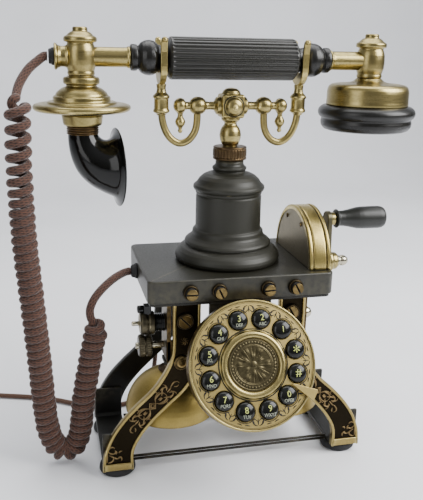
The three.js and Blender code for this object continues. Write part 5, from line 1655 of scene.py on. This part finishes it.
# %% Crank: shaft, arm, hub nut
CRANK_Y, CRANK_Z, CRANK_THROW = -7.0, 142.5, 32.5
ARM_LOW, ARM_HIGH = 7.7, 5.8
crank_at = (0, CRANK_Y, CRANK_Z)
turned("crank_collar", [(0, 58), (3, 58), (3, 65.8), (6.0, 66), (6.4, 66.5), (6.4, 71.4), (6.0, 72),
                        (0, 72)], crank_at, "crank", collar_bronze, axis="X", sides=48, radius=0.2,
       replaces=("crank_arm",), slot="bronze")
turned("crank_hub", [(0, 75.0), (8, 75.4), (8.2, 76.2), (8.0, 77.6), (7.2, 78.6), (6.6, 79.0), (6.4, 81.6),
                     (5.6, 82.6), (0, 82.8)], crank_at, "crank", turned_brass, axis="X", sides=64,
       radius=0.3, slot="brass")
turned("crank_acorn", [(0, 82.4), (4.4, 82.6), (4.8, 83.2), (4.6, 84), (3.6, 84.6), (3.5, 85.4), (4.0, 86.4),
                       (4.1, 88), (3.5, 89.8), (2.2, 91.4), (0, 92)], crank_at, "crank", nickel, axis="X",
       sides=48, radius=0.3, slot="brass")


def arm_outline(steps=24):
    """The crank arm from the side, as (y, z): a big round end below, a small one above."""
    low = np.linspace(np.pi, 2 * np.pi, steps)
    high = np.linspace(0, np.pi, steps)
    bottom = np.stack([CRANK_Y + ARM_LOW * np.cos(low), CRANK_Z + ARM_LOW * np.sin(low)], -1)
    top = np.stack([CRANK_Y + ARM_HIGH * np.cos(high), CRANK_Z + CRANK_THROW + ARM_HIGH * np.sin(high)], -1)
    return np.vstack([bottom, top])


arm_finish = patinated("crank_arm", (92, 88, 68), (66, 62, 48), 0.3, 0.44, cloud=40, metallic=0.85,
                       rub=(150, 140, 106))
plate("crank_plate", arm_outline(), 3.4, "crank", arm_finish, 0.7, turn=ACROSS, centre=(72.2, 0, 0),
      slot="bronze")
handle_at = (0, CRANK_Y, CRANK_Z + CRANK_THROW)
turned("crank_pin", [(0, 75.2), (4.6, 75.3), (4.8, 75.9), (4.8, 78.6), (4.4, 79.2), (2.2, 79.3), (2.2, 96),
                     (0, 96)], handle_at, "crank", turned_brass, axis="X", sides=40, radius=0.2,
       slot="brass")
HANDLE = [(2.4, 79.5), (5.8, 79.5), (6.8, 79.9), (7.0, 80.5), (6.6, 81.2), (5.7, 81.7), (5.6, 82.6),
          (5.8, 86), (6.4, 89.6), (7.2, 93), (7.9, 96.4), (8.2, 99.6), (8.3, 105), (8.3, 113.4),
          (8.0, 115.6), (7.2, 117.4), (5.6, 118.4), (3.4, 118.8), (0, 118.9)]
turned("crank_grip", HANDLE, handle_at, "crank_grip", handle_black, axis="X", sides=72, radius=0.5,
       replaces=("crank_handle",), slot="gloss_black")

# %% [markdown]
# ## Side fittings
# On the left a threaded bush, a round body with a pin and a small clamp, and the volume wheel below;
# on the right an acorn nut. Both sit on plates between the legs.

# %% Plates, bush, body, clamp and wheel
SIDE_Y, SIDE_Z, WHEEL_Z, WHEEL_RIBS = -22.0, 109.0, 92.2, 30
side_metal = patinated("side_metal", (92, 86, 68), (52, 46, 36), 0.28, 0.46, cloud=60, metallic=0.95,
                       rub=(150, 140, 112))
plate_side = [(-36.2, 84), (-14, 84), (-14, 128.7), (-36.2, 128.7)]
for side, name in SIDES:
    low_x = 47.5 if side > 0 else -50.5
    plate(f"side_plate_{name}", plate_side, 3.0, "base", bronze, 0.4, turn=ACROSS, centre=(low_x, 0, 0),
          replaces=(f"side_bracket_{name}",), slot="bronze")
    foot_low = (30 if side > 0 else -50.5, -36.2, 84)
    foot_high = (50.5 if side > 0 else -30, -33.2, 100)
    block(f"side_foot_{name}", foot_low, foot_high, "base", bronze, 0.4, slot="bronze")
side_at = (0, SIDE_Y, SIDE_Z)


def bush_thread(height, angle, radius):
    """A thread outside the plate: the radius rises and falls once every 1.4 mm of height."""
    return 0.3 * np.sin(2 * np.pi * height / 1.4 + angle) * (radius > 5) * (height > 49)


turned("side_bush", [(0, 49)] + [(6.2, x) for x in np.linspace(49.2, 58.4, 50)] + [(0, 58.6)], side_at,
       "base", gloss_black, axis=facing((-1, 0, 0)), sides=48, radius=0, wave=bush_thread,
       slot="gloss_black")
turned("side_body", [(0, 57.0), (7.6, 57.2), (8.3, 57.8), (8.3, 60.6), (7.7, 61.2), (7.7, 62.2), (8.3, 62.8),
                     (8.3, 66), (7.7, 66.8), (6.8, 67.4), (0, 67.6)], side_at, "base", side_metal,
       axis=facing((-1, 0, 0)), sides=64, radius=0.3, slot="bronze")
turned("side_pin", [(0, 67), (1.6, 67), (1.7, 72.2), (1.3, 73), (0, 73)], side_at, "base", nickel,
       axis=facing((-1, 0, 0)), sides=24, radius=0.2, slot="brass")
block("side_clamp", (-64.6, SIDE_Y - 3, SIDE_Z + 6.6), (-59.4, SIDE_Y + 3, SIDE_Z + 13.6), "base",
      gloss_black, 0.5, slot="gloss_black")
turned("side_clamp_knob", [(0, 64.2), (2.4, 64.4), (2.7, 65), (2.7, 68.4), (2.2, 69), (0, 69.2)],
       (0, SIDE_Y, SIDE_Z + 10.4), "base", gloss_black, axis=facing((-1, 0, 0)), sides=32,
       slot="gloss_black")
turned("side_axle", [(0, 50), (2.4, 50), (2.4, 70), (1.6, 70.6), (0, 70.6)], (0, SIDE_Y, WHEEL_Z), "base",
       nickel, axis=facing((-1, 0, 0)), sides=24, radius=0.2, slot="brass")


def wheel_ribs(height, angle, radius):
    """Fine ribs on the wheel's two treads, none in the groove between them."""
    tread = (radius > 7.2) & (np.abs(height - 63.7) > 0.9)
    return -0.3 * tread * (0.5 - 0.5 * np.cos(WHEEL_RIBS * angle)) ** 2


WHEEL = [(2.8, 59.0), (6.8, 59.0), (7.6, 59.5), (8.0, 60.2), (8.0, 62.8), (7.0, 63.3), (7.0, 64.1),
         (8.0, 64.6), (8.0, 67.2), (7.6, 67.9), (6.8, 68.4), (2.8, 68.4)]
turned("volume_wheel_ribbed", WHEEL, (0, SIDE_Y, WHEEL_Z), "volume", side_metal, axis=facing((-1, 0, 0)),
       sides=WHEEL_RIBS * 6, radius=0.25, wave=wheel_ribs, replaces=("volume_wheel",), slot="bronze")
ACORN = [(0, 50), (5.0, 50.4), (5.2, 51.2), (4.7, 52), (4.5, 54.6), (4.0, 56.6), (2.9, 58.4), (1.4, 59.2),
         (0, 59.4)]
turned("side_acorn", ACORN, side_at, "base", nickel, axis="X", sides=48, slot="brass")

# %% Glands where the cords leave the box, and the panel behind the dial
turned("curly_gland_boot", [(0, 65.1), (5.4, 65.2), (5.7, 65.8), (5.4, 66.5), (4.9, 67.0), (4.6, 68.6),
                            (4.0, 69.3), (3.1, 69.5), (0, 69.5)], (0, 7, 138), "base", rubber,
       axis=facing((-1, 0, 0)), sides=40, radius=0.3, replaces=("curly_gland",), slot="rubber")
turned("line_gland_boot", [(0, 0.1), (5.0, 0.2), (5.2, 0.7), (5.0, 1.5), (4.2, 2.4), (3.4, 4.2), (2.2, 4.4),
                           (0, 4.4)], (-38, 47, 138), "base", rubber, axis=facing(BACK), sides=40,
       radius=0.3, replaces=("line_gland",), slot="rubber")
block("dial_back_panel", (-22, -40.5, 70), (22, -37.5, 128.7), "base", black_iron, 0.6,
      replaces=("dial_bracket",), slot="black_iron")
dial_turned("dial_back_boss", [(0, -39), (8, -39), (8, -12.3), (0, -12.3)], black_iron, sides=40,
            radius=0.3, slot="black_iron")

# %% Circuit board and hook switch inside the box
for node, finish in (("circuit_board", board_green), ("hook_switch", gloss_black)):
    bpy.data.objects[node].data.materials.clear()
    bpy.data.objects[node].data.materials.append(finish)

# %% [markdown]
# ## Floor and light
# A plain pale floor that curves up behind the telephone, one broad soft light over the left of the
# camera, a weaker one on the right and a long one behind to draw a line down the brass. The world
# is brighter above than below, which gives round metal its gradient.

# %% Floor and backdrop
FLOOR_HALF, FLOOR_BACK, FLOOR_BEND = 2200.0, 900.0, 400.0


def stage_points():
    """A floor strip, a quarter circle and a wall, as a profile in (y, z) swept along x."""
    bend = np.linspace(0, np.pi / 2, 24)
    profile = np.vstack([[(-FLOOR_HALF, 0), (0, 0)],
                         np.stack([FLOOR_BACK + FLOOR_BEND * np.sin(bend),
                                   FLOOR_BEND * (1 - np.cos(bend))], -1),
                         [(FLOOR_BACK + FLOOR_BEND, FLOOR_HALF)]])
    across = np.linspace(-FLOOR_HALF, FLOOR_HALF, 12)
    grid = np.empty((len(profile), len(across), 3))
    grid[..., 0] = across[None, :]
    grid[..., 1:] = profile[:, None, :]
    return grid


def floor_material():
    material, tree, shader = blank("pale_floor")
    cloud = add_node(tree, "TexNoise", Vector=object_place(tree), Scale=3.0, Detail=4.0)
    tone = mixed(tree, ranged(tree, cloud.outputs[0], 0.35, 0.65), linear(226, 227, 230),
                 linear(234, 235, 238))
    tree.links.new(tone, shader.inputs["Base Color"])
    shader.inputs["Roughness"].default_value = 0.9
    return material


stage_mesh = grid_mesh("stage", at(stage_points()), wrap_columns=False, close_ends=False)
stage_mesh.shade_smooth()
stage_mesh.materials.append(floor_material())
stage = bpy.data.objects.new("stage", stage_mesh)
bpy.context.scene.collection.objects.link(stage)

# %% Lights and world


def area_light(name, place, aim, width, height, power, colour=(1, 1, 1)):
    """A soft rectangle of light at a place, turned so that it faces the aim."""
    data = bpy.data.lights.new(name, "AREA")
    data.shape = "RECTANGLE"
    data.size, data.size_y, data.energy, data.color = width, height, power, colour
    light = bpy.data.objects.new(name, data)
    bpy.context.scene.collection.objects.link(light)
    away = np.asarray(place, float) - np.asarray(aim, float)
    away /= np.linalg.norm(away)
    side = np.cross([0, 0, 1], away)
    side /= np.linalg.norm(side)
    matrix = np.eye(4)
    matrix[:3, :3] = np.column_stack([side, np.cross(away, side), away])
    matrix[:3, 3] = at(place)
    light.matrix_world = Matrix(matrix.tolist())
    return light


area_light("key", (750, -420, 800), (-40, 60, 120), 0.8, 0.7, 24.0)
area_light("fill", (-800, -600, 500), (0, 0, 150), 0.5, 0.8, 3.5)
area_light("top", (100, 250, 1200), (0, 0, 100), 1.2, 0.8, 13.0)


def gradient_world():
    """Light from the sky direction: a ramp over how far up a direction points."""
    world = bpy.data.worlds.new("studio")
    world.use_nodes = True
    tree = world.node_tree
    background = tree.nodes["Background"]
    direction = tree.nodes.new("ShaderNodeTexCoord").outputs["Generated"]
    height = add_node(tree, "SeparateXYZ", i0=direction).outputs[2]
    tree.links.new(mixed(tree, ranged(tree, height, -0.05, 0.85), linear(62, 60, 56),
                         linear(232, 235, 240)), background.inputs["Color"])
    background.inputs["Strength"].default_value = 0.75
    bpy.context.scene.world = world


gradient_world()
